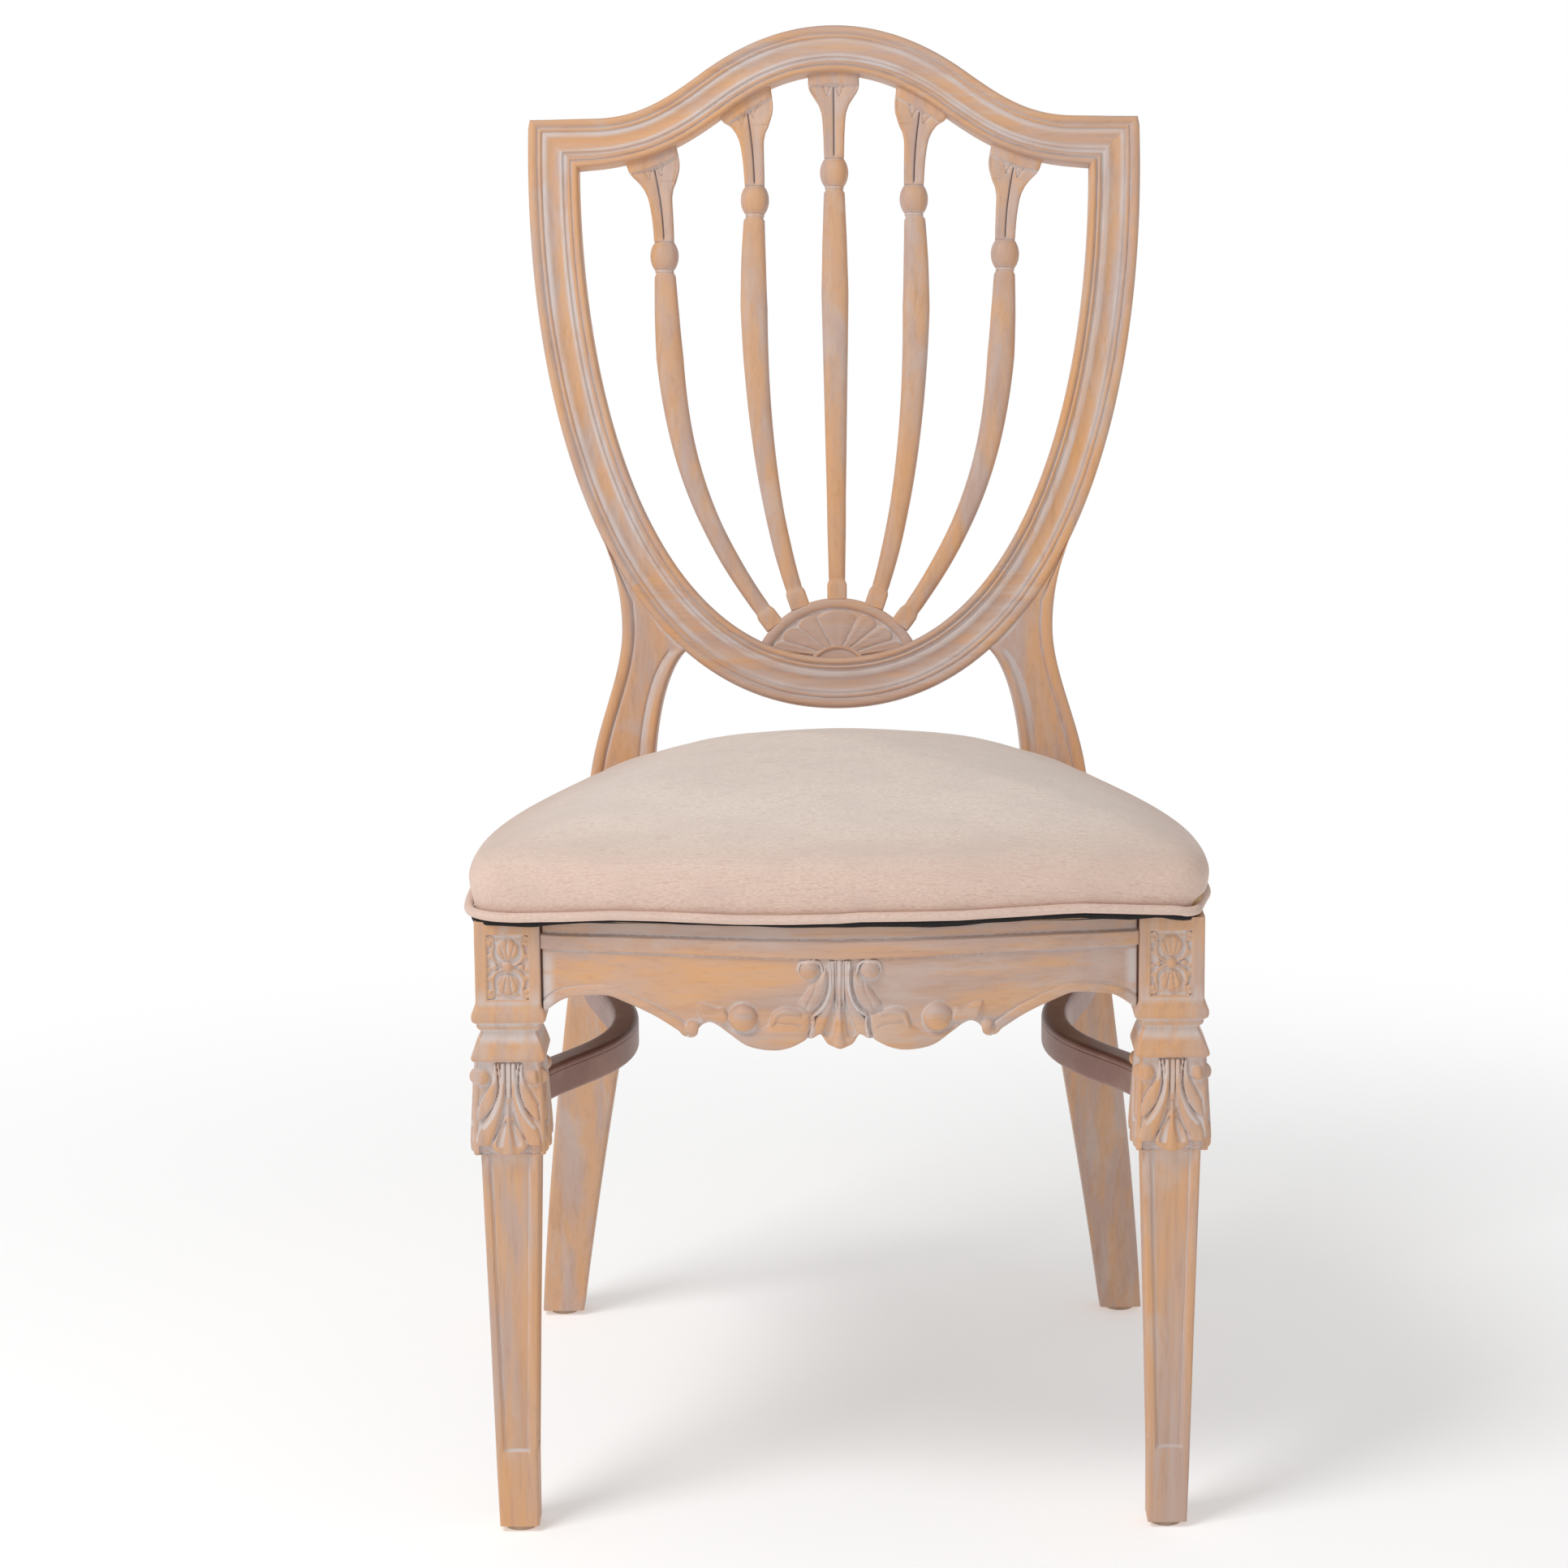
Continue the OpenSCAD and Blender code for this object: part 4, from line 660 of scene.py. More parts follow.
# %% Measures of the splats
splat_mid = -13
foot_angles, leans, bulb_xs = [90, 65, 44], [0, 0.09, 0.13], [0, 60, 128.5]
upper_handles = [(0, 0.6), (1.08, 0.65), (0.975, 0.6)]
lower_handles = [(0, 0.3), (0.96, 0.27), (0.945, 0.35)]
shaft_widths = np.array([(0, 0.72), (0.14, 0.91), (0.25, 1), (0.35, 0.94), (0.44, 0.88), (0.54, 0.82),
                         (0.64, 0.765), (0.73, 0.71), (0.83, 0.68), (0.92, 0.62), (1, 0.6)])
shaft_w, shaft_t, shaft_steps = 20.5, 7, 400
head_w, head_t, head_h = 38.5, 7, 75
head_widths = np.array([(0, 0.195), (0.143, 0.195), (0.375, 0.208), (0.5, 0.222), (0.553, 0.231),
                        (0.607, 0.247), (0.687, 0.3), (0.768, 0.4), (0.82, 0.465), (0.86, 0.492),
                        (0.889, 0.5), (1.3, 0.5)])
crest_under = crest_at(1)


def crest_under_at(x):
    return read_off(crest_under, np.abs(x), 0, 1)


def head_mid(k, up):
    """The middle of a head, which bends outwards more and more towards its top."""
    return bulb_xs[k] + leans[k] * head_h * (up / head_h)**2.2


def head_half(up):
    return read_off(head_widths, up / head_h, 0, 1) * head_w


print("A head is", round(2 * head_half(head_h), 1), "mm wide under the crest")

# %% A ring of a splat, finer beside the slit
wide = np.sin(np.linspace(-math.pi / 2, math.pi / 2, 47))
wide = np.unique(np.round(np.concatenate([wide, [-0.09, -0.05, -0.025, 0.025, 0.05, 0.09]]), 4))
wide_back = np.sin(np.linspace(math.pi / 2, -math.pi / 2, 15))[1:-1]


def squared(t, power):
    """A half section: round for power 2, squarer for more."""
    return np.clip(1 - np.abs(t)**power, 0, 1)**(1 / power)


def stick_ring(place, half, thick, power, carving=0.0):
    """One ring: place tells where a distance from the middle lies, carving is the heights in front."""
    front = splat_mid + thick * squared(wide, power) + carving
    rear = splat_mid - thick * squared(wide_back, power)
    return on_back(*place(np.concatenate([wide, wide_back]) * half), np.concatenate([front, rear]))


def ring_wash(front):
    return np.concatenate([front, np.full(len(wide_back), 0.2)])


def round_wash(middle, sides):
    return ring_wash(between(sides, middle, squared(wide, 2)))


print("A ring has", len(wide) + len(wide_back), "points")

# %% Heads of the splats
band_low, band_high = 8.6, 9.6           # the plain band under the crest ends here


def head_relief(x, half, under, up):
    """Carving of the head: x from its middle, under the crest, up from the ball."""
    below_band, from_edge = step(band_low, band_high, under), half - np.abs(x)
    flare = -1.7 * below_band * step(34, 12, under)
    fall = -1.3 * below_band * np.clip(1 - np.abs(x) / (0.85 * half), 0, 1) * step(10, 16, up)
    slit = -2.6 * np.exp(-(x / 0.55)**2) * step(9.5, 12, under) * step(11, 13, up)
    nicks = sum(groove(np.abs(x), under, line, 0.55, 1.3)
                for line in ([(2.2, 10), (4.4, 17)], [(4.6, 17), (7.6, 10)]))
    return (flare + fall) * step(0, 2.2, from_edge) + slit + nicks * below_band * step(1.5, 3, from_edge)


def head_wash(x, half, under):
    """The carved face of a head keeps a grey film; its band and its edges are rubbed."""
    face = 0.55 * step(1, 3.5, half - np.abs(x)) - 0.25
    return between(-0.15, face, step(band_low, 10.5, under)) + 0.9 * np.exp(-((under - 9.2) / 0.8)**2)


def head_rings(k, bulb):
    """From under the crest, where the rings bend along it, down to the level rings over the ball."""
    level_from, into_crest = 56.0, 0.5
    base = bulb[1] + level_from
    for t in np.linspace(1, 0, 34)[:-1]:
        up = level_from + t * (head_h - level_from)
        middle, half = head_mid(k, up), head_half(up)

        def bent(x):
            return middle + x, base + t * (crest_under_at(middle + x) + into_crest - base)

        under = crest_under_at(middle + wide * half) - bent(wide * half)[1]
        yield (stick_ring(bent, half, head_t, 9, head_relief(wide * half, half, under, up)),
               ring_wash(head_wash(wide * half, half, under)))
    for up in np.arange(level_from, 10.4, -1.0):
        middle, half, under = head_mid(k, up), head_half(up), np.full(len(wide), head_h - up)
        yield (stick_ring(lambda x: (middle + x, bulb[1] + up), half, head_t, 7,
                          head_relief(wide * half, half, under, up)),
               ring_wash(head_wash(wide * half, half, under)))


print("A head has", len(list(head_rings(0, (0, crest_under_at(0) - head_h)))), "rings")

# %% Balls and shafts of the splats
ball_r, ball_long = 10.7, 14.2
necks_below = [(-10.4, 6.7), (-10.9, 7.1), (-12.2, 7.1), (-12.7, 6.5)]
# The foot's block: distance from its end, half its width, half its thickness, squareness
foot_block = [(14.6, 6.1, 6.4, 4), (13.6, 6.3, 6.8, 5), (11.4, 7.2, 7.7, 6), (10.8, 7.4, 7.9, 7),
              (5, 7.4, 7.9, 7), (0, 7.4, 7.9, 7), (-0.8, 7.4, 7.9, 7)]


def ball_rings(bulb):
    def level(up, half, thick, power):
        return stick_ring(lambda x: (bulb[0] + x, bulb[1] + up), half, thick, power)

    yield level(10.3, 6.9, 6.4, 3), round_wash(0.5, 0.5)
    for up in np.linspace(10, -10, 25):
        half = ball_r * math.sqrt(1 - (up / ball_long)**2)
        yield level(up, half, half - 0.2, 2.3), round_wash(between(-0.4, 0.5, step(7, 10, abs(up))), 0.2)
    for up, half in necks_below:
        yield level(up, half, half - 0.5, 2.6), round_wash(0.5, 0.5)


def shaft_rings(k, bulb):
    turn = math.radians(foot_angles[k])
    foot = np.array([0, fan_up]) + (fan_r + 0.1) * np.array([math.cos(turn), math.sin(turn)])
    rise = bulb[1] - foot[1]
    bends = [(bulb[0] * h[k][0], foot[1] + rise * h[k][1]) for h in (upper_handles, lower_handles)]
    line = cubic([bulb, *bends, foot], shaft_steps)
    run, ahead = lengths(line), np.gradient(line, axis=0)
    ahead /= np.linalg.norm(ahead, axis=1)[:, None]

    def at(s, half, thick, power):
        i = min(int(np.searchsorted(run, s)), shaft_steps)
        x0, up0 = line[i] + max(0.0, s - run[-1]) * ahead[-1]
        return stick_ring(lambda x: (x0 - x * ahead[i, 1], up0 + x * ahead[i, 0]), half, thick, power)

    for s in np.concatenate([[13.0, 13.4, 14, 15], np.arange(17, run[-1] - 16, 4.0)]):
        swell = read_off(shaft_widths, np.searchsorted(run, s) / shaft_steps, 0, 1)
        ease = 1 - 0.14 * step(15.5, 12.8, s)
        middle_wash = -0.15 + 0.3 * step(17, 13, s)
        yield at(s, shaft_w / 2 * swell * ease, shaft_t * ease, 3.0), round_wash(middle_wash, 0.35)
    for left, half, thick, power in foot_block:
        yield at(run[-1] - left, half, thick, power), round_wash(0.15, 0.35)


print("Under the ball lie", len(necks_below), "rings, in the foot", len(foot_block))

# %% The five splats
for k, word in enumerate(("centre", "inner", "outer")):
    bulb = np.array([bulb_xs[k], crest_under_at(bulb_xs[k] + leans[k] * head_h) - head_h])
    rings_and_wash = [*head_rings(k, bulb), *ball_rings(bulb), *shaft_rings(k, bulb)]
    shape, shares = (np.stack(part) for part in zip(*rings_and_wash))
    for hand, side_sign in (hands.items() if k else [("", 1)]):
        which = f"{word}_{hand}".strip("_")
        splat = washed(skinned("splat_" + which, shape * (side_sign, 1, 1), 48), shares)
        fit(splat, "limed_wood", wood_up, "spindle_" + which)

# %% [markdown]
# ## Rear legs
# Each rear leg is one long bent stick from the floor to the shield. Below the seat it is plain with
# eased edges. Above the seat its face is moulded: a bead along each edge and a flat field between, and
# its top is cut to hug the shield. A box extruded along the leg would need its moulding cut by hand
# around that top, so the leg is skinned over rings, and each ring squeezes its moulding to its width.

# %% Outlines of a rear leg, from the front and from the side
glide_top, leg_steps, post_steps = 4, 80, 60
leg_outer = cubic([(235, 4), (221.8, 199.3), (192, 368.9), (188, 424)], leg_steps)
leg_inner = cubic([(203, 4), (176.5, 199.3), (142.3, 351.9), (139.5, 424)], leg_steps)
outer_low = cubic([(188, 0), (188, 49.4), (162, 89.7), (162, 130)], post_steps)
outer_high = cubic([(162, 130), (162, 163.7), (172.9, 206.4), (197, 221)], post_steps)
post_outer = np.vstack([outer_low, outer_high[1:]])
into_shield, notch_up, post_top = 1.4, 115, 206
shield_outer, shield_edge = side_line(into_shield)[::-1], side_line(0)[::-1]
notch_x = read_off(shield_outer, notch_up)
notch_bend = (between(notch_x, 138, 0.68), 99.5)
post_inner = cubic([(139.5, 0), (139.5, 56), notch_bend, (notch_x, notch_up)], post_steps)
front_face = cubic([(398, 424), (393, 394.3), (429, 152.6), (460, 4)], leg_steps)[::-1]
end_y = seat_depth + post_top * math.sin(lean)
end_z = seat_top + post_top * math.cos(lean)
leg_back_y = 440
back_high = cubic([(end_y + frame_t * math.cos(lean), end_z - frame_t * math.sin(lean)),
                   (between(leg_back_y, end_y + frame_t, 0.27), between(seat_top, end_z, 0.55)),
                   (leg_back_y, between(seat_top, end_z, 0.35)), (leg_back_y, seat_top)], post_steps)
back_low = cubic([(leg_back_y, seat_top), (leg_back_y, 322), (462.5, 148.4), (490, 4)], leg_steps)[::-1]
back_line = np.vstack([back_high, back_low[::-1][1:]]) - (seat_depth, seat_top)
back_up = back_line[:, 0] * math.sin(lean) + back_line[:, 1] * math.cos(lean)
back_deep = back_line[:, 0] * math.cos(lean) - back_line[:, 1] * math.sin(lean)
by_height = np.argsort(back_up)
back_up, back_deep = back_up[by_height], back_deep[by_height]
print("The post is", round(float(np.interp(0, back_up, back_deep)), 1), "mm deep at the seat")

# %% The post's face, from its inner edge and from its outer edge: distance in, height, and wash
post_inside = np.array([
    (0, -3.4, 0), (0.35, -2, 0), (1, -0.9, -0.3), (2, -0.25, -0.6), (3.4, 0, -0.6), (5, -0.3, -0.2),
    (6.2, -1.1, 0.3), (7.4, -1.8, 0.55), (9, -2.3, 0.6), (10.4, -2.6, 0.75), (11, -3.1, 0.9),
    (11.4, -3.2, 0.9), (12, -2.4, 0.4), (12.8, -2, 0), (14, -1.9, -0.1)])
post_outside = np.array([
    (0, -3.4, 0), (0.35, -2, 0), (1, -0.9, -0.3), (2, -0.25, -0.6), (3.6, 0, -0.7), (6, -0.1, -0.5),
    (7.4, -0.6, 0), (8.4, -1.6, 0.5), (8.8, -2.6, 0.9), (9.1, -3.1, 0.9), (9.6, -2.6, 0.8),
    (10.4, -2.1, 0.5), (11.4, -1.9, 0.2), (13, -1.9, 0), (15, -1.9, 0)])
plain_edge = np.array([-2.6, -1.5, -0.65, -0.12] + 11 * [0.0])
hug_wash = np.array([1, 1, 1, 0.9, 0.7, 0.4, 0.2] + 8 * [0.0])
room_for_both, room_for_one, outside_room, inside_room = 34, 17, 15.5, 18.5
field_points = 6


def post_face(low, high, moulded_share, hugging=0.0):
    """Places across the front, their heights over the face, and the wash on them."""
    width = high - low
    squeeze = between(min(1, width / room_for_both), min(1, width / room_for_one), hugging)
    near_squeeze = min(1, max(0.02, (width - outside_room * squeeze) / inside_room))
    near = post_inside[:, 0] * near_squeeze
    far = width - post_outside[::-1, 0] * squeeze
    at = np.concatenate([near, np.linspace(near[-1], far[0], field_points + 2)[1:-1], far])
    # beside the shield the inner bead gives way to the flat field
    inside = between(post_inside[:, 1], post_inside[-1, 1], hugging)
    inside = between(plain_edge, inside, moulded_share)
    outside = between(plain_edge, post_outside[:, 1], moulded_share)[::-1]
    field = np.full(field_points, inside[-1])
    wash = np.concatenate([between(post_inside[:, 2], hug_wash, hugging), 0 * field, post_outside[::-1, 2]])
    return low + at, np.concatenate([inside, field, outside]), wash * moulded_share


print("The post's face has", len(post_face(0, 50, 1)[0]), "points")

# %% A ring round a rear leg
side_share, back_share = np.array([0.25, 0.5, 0.75]), np.array([0.33, 0.66])
quarter_turn = np.radians([0, 30, 60, 90])


def leg_ring(face, low, high, deep, place, eased=3.0):
    """Front face, right side, eased back and left side; place puts it in the chair."""
    xs, hs, wash = face
    early, late = eased * (1 - np.cos(quarter_turn)), eased * (1 - np.sin(quarter_turn))
    x = np.concatenate([xs, np.full(3, high), high - early, between(high, low, back_share),
                        low + late, np.full(3, low)])
    inwards = np.concatenate([-hs, side_share * deep, deep - late, [deep, deep],
                              deep - early, side_share[::-1] * deep])
    backwards = np.concatenate([0 * xs, side_share, np.ones(10), side_share[::-1]])
    return place(x, inwards, backwards), np.concatenate([wash, np.zeros(len(x) - len(wash))])


def rear_leg_rings():
    """From the glide up to the seat, and from there up the shield."""
    rear_top = seat_top - back_deep[np.searchsorted(back_up, 0)] * math.sin(lean)
    for s in np.linspace(0, 1, 95):
        z, rear_z = between(glide_top, seat_top, s), between(glide_top, rear_top, s)
        front_y, rear_y = read_off(front_face, z), read_off(back_low, rear_z)
        low, high = read_off(leg_inner, z), read_off(leg_outer, z)
        yield leg_ring(post_face(low, high, step(0.9, 0.97, s)), low, high, rear_y - front_y,
                       lambda x, inwards, backwards: np.column_stack(
                           [x, front_y + inwards, between(z, rear_z, backwards)]))
    for up in np.concatenate([np.arange(2.5, 105, 2.5), np.linspace(105, 200, 70)]):
        low = read_off(post_inner if up < notch_up else shield_outer, up)
        # the tip runs out against the shield's side
        high = between(read_off(post_outer, up), read_off(shield_edge, up) - 0.3, step(186, 200, up))
        xs, hs, wash = post_face(low, high, 1.0, step(notch_up - 5, notch_up + 3, up))
        deep = np.interp(up, back_up, back_deep)
        yield leg_ring((xs, hs - 1.2 * step(180, 200, up), wash), low, high, deep,
                       lambda x, inwards, backwards: on_back(x, up, -inwards), min(3.0, 0.3 * (high - low)))


shape, shares = (np.stack(part) for part in zip(*rear_leg_rings()))
for hand, side_sign in hands.items():
    leg = washed(skinned(f"rear_leg_{hand}_shaped", shape * (side_sign, 1, 1), 42), shares)
    fit(leg, "limed_wood", wood_up, f"rear_leg_{hand}")

# %% [markdown]
# ## Front legs
# Each front leg is cut from a square stick: a block with a sunk flower panel, a rounded collar, a flared
# neck, a capital carved with leaves and balls, and a tapered shaft with a long sunk panel. A turned
# shape could be spun, but this one is square, so its rings are squares with eased corners, and the
# carving is added to each face.

# %% Profile of a front leg: height over the floor, and half its width
block_half, block_low, leg_x, flower_up = 22, 368, 219, 393
profile = np.array([
    (424, 21.7), (370, 21.7), (367.5, 21.8), (365.6, 22.3), (364.2, 23.2), (362.8, 24.1), (361, 24.7),
    (358.8, 24.8), (357, 24.4), (355.7, 23.4), (354.9, 22.0), (354.4, 21.2), (353.8, 21.6), (352.6, 21.5),
    (351.3, 20.8), (350.3, 19.8), (349.6, 19.0), (348.9, 18.7), (347.6, 19.0), (343.4, 20.9), (337, 23.3),
    (333.6, 24.5), (331.8, 24.8), (330.4, 24.4), (329.4, 23.3), (329, 22.3), (328.6, 21.3), (328, 21.4),
    (320, 22.0), (311, 22.8), (289, 23.6), (266.6, 24.0), (265.4, 23.6), (265, 19.6), (258, 19.3),
    (137, 16.0), (56, 14.1), (4, 13.25)])[::-1]
# The wash on the collar, neck and shaft, where nothing is carved: height, share
collar_wash = np.array([
    (57, 0), (250, 0.1), (262, 0.5), (266, 0.2), (328, 0.6), (329, 0.7), (331, -0.3), (337, -0.3),
    (341, 0.3), (345, 0.8), (349.5, 0.9), (352, 0.2), (354.4, 0.9), (356.5, 0.3), (359, -0.4),
    (362, -0.5), (365.5, 0.2), (369, 0.6), (376, 0.4), (384, 0), (424, 0)])
print("The leg is", 2 * profile[:, 1].max(), "mm wide at its widest")

# %% Lines of the capital
capital_low, capital_high = 265.2, 328.8
middle_px, top_px, px_lean = 625.9, 1311, 0.0232
px_across, px_down, top_z = 1.86, 1.795, 327.7


def leaf_px(points):
    """Places read off the photographed capital, as millimetres from its middle and above the floor."""
    return [((x - middle_px - px_lean * (y - top_px)) / px_across, top_z - (y - top_px) / px_down)
            for x, y in points]


side_leaf = leaf_px([(609, 1312), (610, 1325), (608.5, 1338), (605, 1350), (600.5, 1361), (596.5, 1371),
                     (593, 1379)])
side_leaf_edge = leaf_px([(611, 1311), (614, 1325), (615, 1338), (613.5, 1350), (610, 1361), (604, 1371),
                          (597, 1380)])
side_leaf_fold = leaf_px([(606, 1331), (601, 1341), (596, 1351), (590.5, 1362)])
big_leaf = leaf_px([(619, 1312), (619.5, 1330), (618.5, 1346), (615, 1362), (609.5, 1378), (603, 1393),
                    (598.5, 1407), (597.5, 1413)])
big_leaf_edge = leaf_px([(622, 1371), (619, 1382), (615, 1392), (610.5, 1401), (606.5, 1409)])
outer_rib = leaf_px([(612.5, 1311), (616, 1330), (617, 1344), (613.5, 1362), (606, 1378), (598, 1388)])
inner_rib = leaf_px([(624, 1311), (624.5, 1330), (625.5, 1350)])
middle_rib = [(0, 328), (0, 314), (0, 302)]
tongue = leaf_px([(627.4, 1362), (627.6, 1378), (627.9, 1394), (628.2, 1408), (628.4, 1417)])
bell = leaf_px([(622, 1374), (617, 1389), (612, 1400), (606.5, 1409), (611, 1417), (619, 1422.5),
                (628.5, 1424.5)])
bell = bell + [(-across, up) for across, up in bell[::-1]]
bell_hollow = leaf_px([(624, 1381), (620.5, 1394), (617.5, 1408)])
capital_ball, capital_ball_r = (-17.3, 318.8), 5.3
# Each leaf or rib: its line, half widths along it, how far it rises, and the hollow down its middle
capital_leaves = [
    (big_leaf, [1.5, 1.8, 2.3, 3.1, 4.1, 5.2, 5.4, 4.6], 3.0, 0.3),
    (side_leaf, [0.9, 1.5, 2.5, 3.9, 4.6, 3.2, 0.8], 2.2, 0.2),
    (tongue, [0.9, 1.1, 1.7, 3.6, 5.0], 2.8, 0),
    (middle_rib, [1.0, 1.0, 1.6], 1.6, 0),
    (outer_rib, [0.9, 1.1, 1.2, 1.2, 1.2, 0.8], 2.4, 0),
    (inner_rib, [0.9, 1.0, 0.7], 1.7, 0)]
# Each cut: its line, half width and depth
capital_cuts = [(side_leaf_edge, 0.8, 0.8), (big_leaf_edge, 0.8, 0.9), (side_leaf_fold, 0.6, 0.6)]
print("The capital has", len(capital_leaves), "leaves and ribs on each half")

# %% Relief of the capital
lobe_half, leaf_half = 11.6, 19.8


def raised(height, x, z, strands):
    """The height with leaves and ribs raised over it."""
    for line, halves, rise, hollow in strands:
        height = np.maximum(height, strand(x, z, line, halves, rise, hollow))
    return height


def scored(height, x, z, cuts):
    """The height with fine lines cut into it."""
    return height + sum(groove(x, z, line, half, deep) for line, half, deep in cuts)


def hangs(x):
    """How low the capital's carving hangs over the shaft, across its width."""
    aside = np.abs(x)
    lobe = 271.5 - 6.2 * np.sqrt(np.clip(1 - (aside / lobe_half)**2, 0, 1))
    return np.where(aside < lobe_half, lobe, np.where(aside < leaf_half, 272.4, capital_low + 0.2))


def capital_relief(x, z):
    left = -np.abs(x)
    h = boss(left, z, bell, 2.0, 5) - strand(left, z, bell_hollow, [0.6, 2.3, 2.6], 2.0)
    h = raised(h, left, z, capital_leaves)
    h = np.maximum(h, ball(left, z, capital_ball, capital_ball_r, 0.75))
    return scored(h, left, z, capital_cuts)


def capital_wash(x, z, heights):
    """The ribs and the ground hold the wash, the leaves and the balls are rubbed."""
    left = -np.abs(x)
    shares = np.maximum(low_places(heights, 5, 0.9), -0.8)
    for line in (outer_rib, inner_rib, side_leaf_edge):
        shares = np.maximum(shares, strand(left, z, line, [1.3] * len(line), 1.0))
    from_ball = np.hypot(left - capital_ball[0], z - capital_ball[1])
    shares = np.maximum(shares, 0.8 * step(309, 320, z) * step(5, 6.4, from_ball))
    return between(-0.5, shares, step(3.0, 5.2, from_ball))


middle = capital_relief(np.zeros(1), np.full(1, 300.0))
print("The capital's middle rib stands", middle.round(2), "mm high")

# %% The flower panel of the block
panel_half_w, panel_half_h = 14.3, 22.6


def petal(x, z, angle, near, far, half, rise):
    """A spoon-shaped petal that points at angle from the middle."""
    c, s = math.cos(math.radians(angle)), math.sin(math.radians(angle))
    along, aside = x * c + z * s, -x * s + z * c
    u = np.clip((along - near) / (far - near), 0, 1)
    w = half * np.sin(math.pi * np.clip(0.08 + 0.86 * u, 0, 1)**1.35)**0.6
    t = np.clip(np.abs(aside) / np.maximum(w, 0.01), 0, 1)
    spoon = (1 - t**4)**0.5 * (0.75 + 0.25 * u) - 0.55 * np.exp(-(t / 0.5)**2) * np.sin(math.pi * u)**0.7
    return np.where((along > near) & (along < far) & (t < 1), rise * spoon, 0)


def shell(x, down, ribs_at):
    """A small shell beside the flower's ball, with grooves that spread from the ball."""
    inside = 1 - (x / 7.6)**2 - ((down - 12) / 7.6)**2
    turn = np.degrees(np.arctan2(np.abs(x), np.maximum(down, 0.1)))
    h = 2.3 * np.sqrt(np.clip(1.9 * inside, 0, 1))
    for at in ribs_at:
        h = h - 1.0 * np.exp(-((turn - at) / 2.6)**2) * (h > 0)
    return np.where(down > 0, np.maximum(h, 0), 0)


def flower_relief(x, z):
    """The block's panel: sunk, with a ball, a tulip above it, a shell below and curled leaves aside."""
    z, x = z - flower_up, x + 0.3
    sunk = step(panel_half_w, 12.9, np.abs(x)) * step(panel_half_h, 21.2, np.abs(z))
    h = np.maximum(shell(x, -z, (9, 27)), shell(x, z, (0, 17)))
    buds = [((0, 0), 3.8, 0.85)]
    for sx in (-1, 1):
        # stems that curl round the tulip and the shell
        for end in (-1, 1):
            curl = [(3.6 * sx, 1.2 * end), (8.6 * sx, 4.5 * end), (10.4 * sx, 9.5 * end),
                    (9.4 * sx, 14.5 * end)]
            h = np.maximum(h, strand(x, z, curl, [0.8, 1.2, 1.3, 1.0], 1.9))
            h = np.maximum(h, petal(x, z, 90 * end - 31 * sx * end, 17.8, 24.6, 2.3, 1.8))
            buds += [((11.7 * sx, 7.5 * end), 1.9, 0.9), ((12 * sx, 16.5 * end), 2.2, 0.9)]
        buds += [((8.6 * sx, 0), 2.2, 0.9), ((12.4 * sx, -1.5), 1.7, 0.9)]
    for at, radius, rise in buds:
        h = np.maximum(h, ball(x, z, at, radius, rise))
    return (1.1 * h - 2.3) * sunk


flower_middle = flower_relief(np.zeros(1), np.full(1, float(flower_up)))
print("The flower's ball stands", flower_middle.round(2), "mm high")

# %% The sunk panel of the shaft
panel_low, panel_high, panel_deep, line_deep = 57, 262, 1.9, 1.5


def shaft_relief(x, z):
    """The long sunk panel of the shaft, with a fine step round it."""
    half = np.interp(z, [panel_low, panel_high], [7.8, 13.2])
    inside = step(0, 0.9, half - np.abs(x)) * step(0, 0.9, z - panel_low)
    line = np.exp(-((half + 0.2 - np.abs(x)) / 0.9)**2) * step(-0.5, 0.5, z - panel_low + 0.5)
    foot = np.exp(-((z - panel_low) / 0.9)**2) * (np.abs(x) < half + 0.4)
    return -panel_deep * inside - line_deep * np.maximum(line, foot)


print("The shaft's panel is", panel_high - panel_low, "mm long")

# %% Rings of a front leg
columns = 65
face_t, corner_turn = np.linspace(-1, 1, columns), np.radians([22.5, 45, 67.5])
zs = np.concatenate([np.linspace(4, 50, 12), np.linspace(50, 64, 16)[1:], np.linspace(64, 250, 40)[1:],
                     np.linspace(250, 424, 300)[1:]])
z = np.repeat(zs[:, None], columns, 1)
half = read_off(profile, zs, 0, 1)
soft = np.interp(zs, [4, 250, 262, 349, 366, 368, 424], [1.6, 1.8, 2.2, 2.2, 2.6, 1.3, 1.3])
shaft_half = np.interp(zs, [4, 56, 137, 258, 280], [13.25, 14.1, 16.0, 19.3, 19.9])
# the shaft's back tapers from the capital's back down to the foot
is_shaft = zs < capital_low
front_y = np.where(is_shaft, np.interp(zs, [4, 262], [0.75, 1.6]), block_half - half)
rear_y = np.where(is_shaft, np.interp(zs, [4, 262], [27.25, 40.2]), block_half + half)
mid_y, deep = (front_y + rear_y) / 2, (rear_y - front_y) / 2
capital_scale = 22.5
print("A front leg has", len(zs), "rings with", columns, "places on each face")

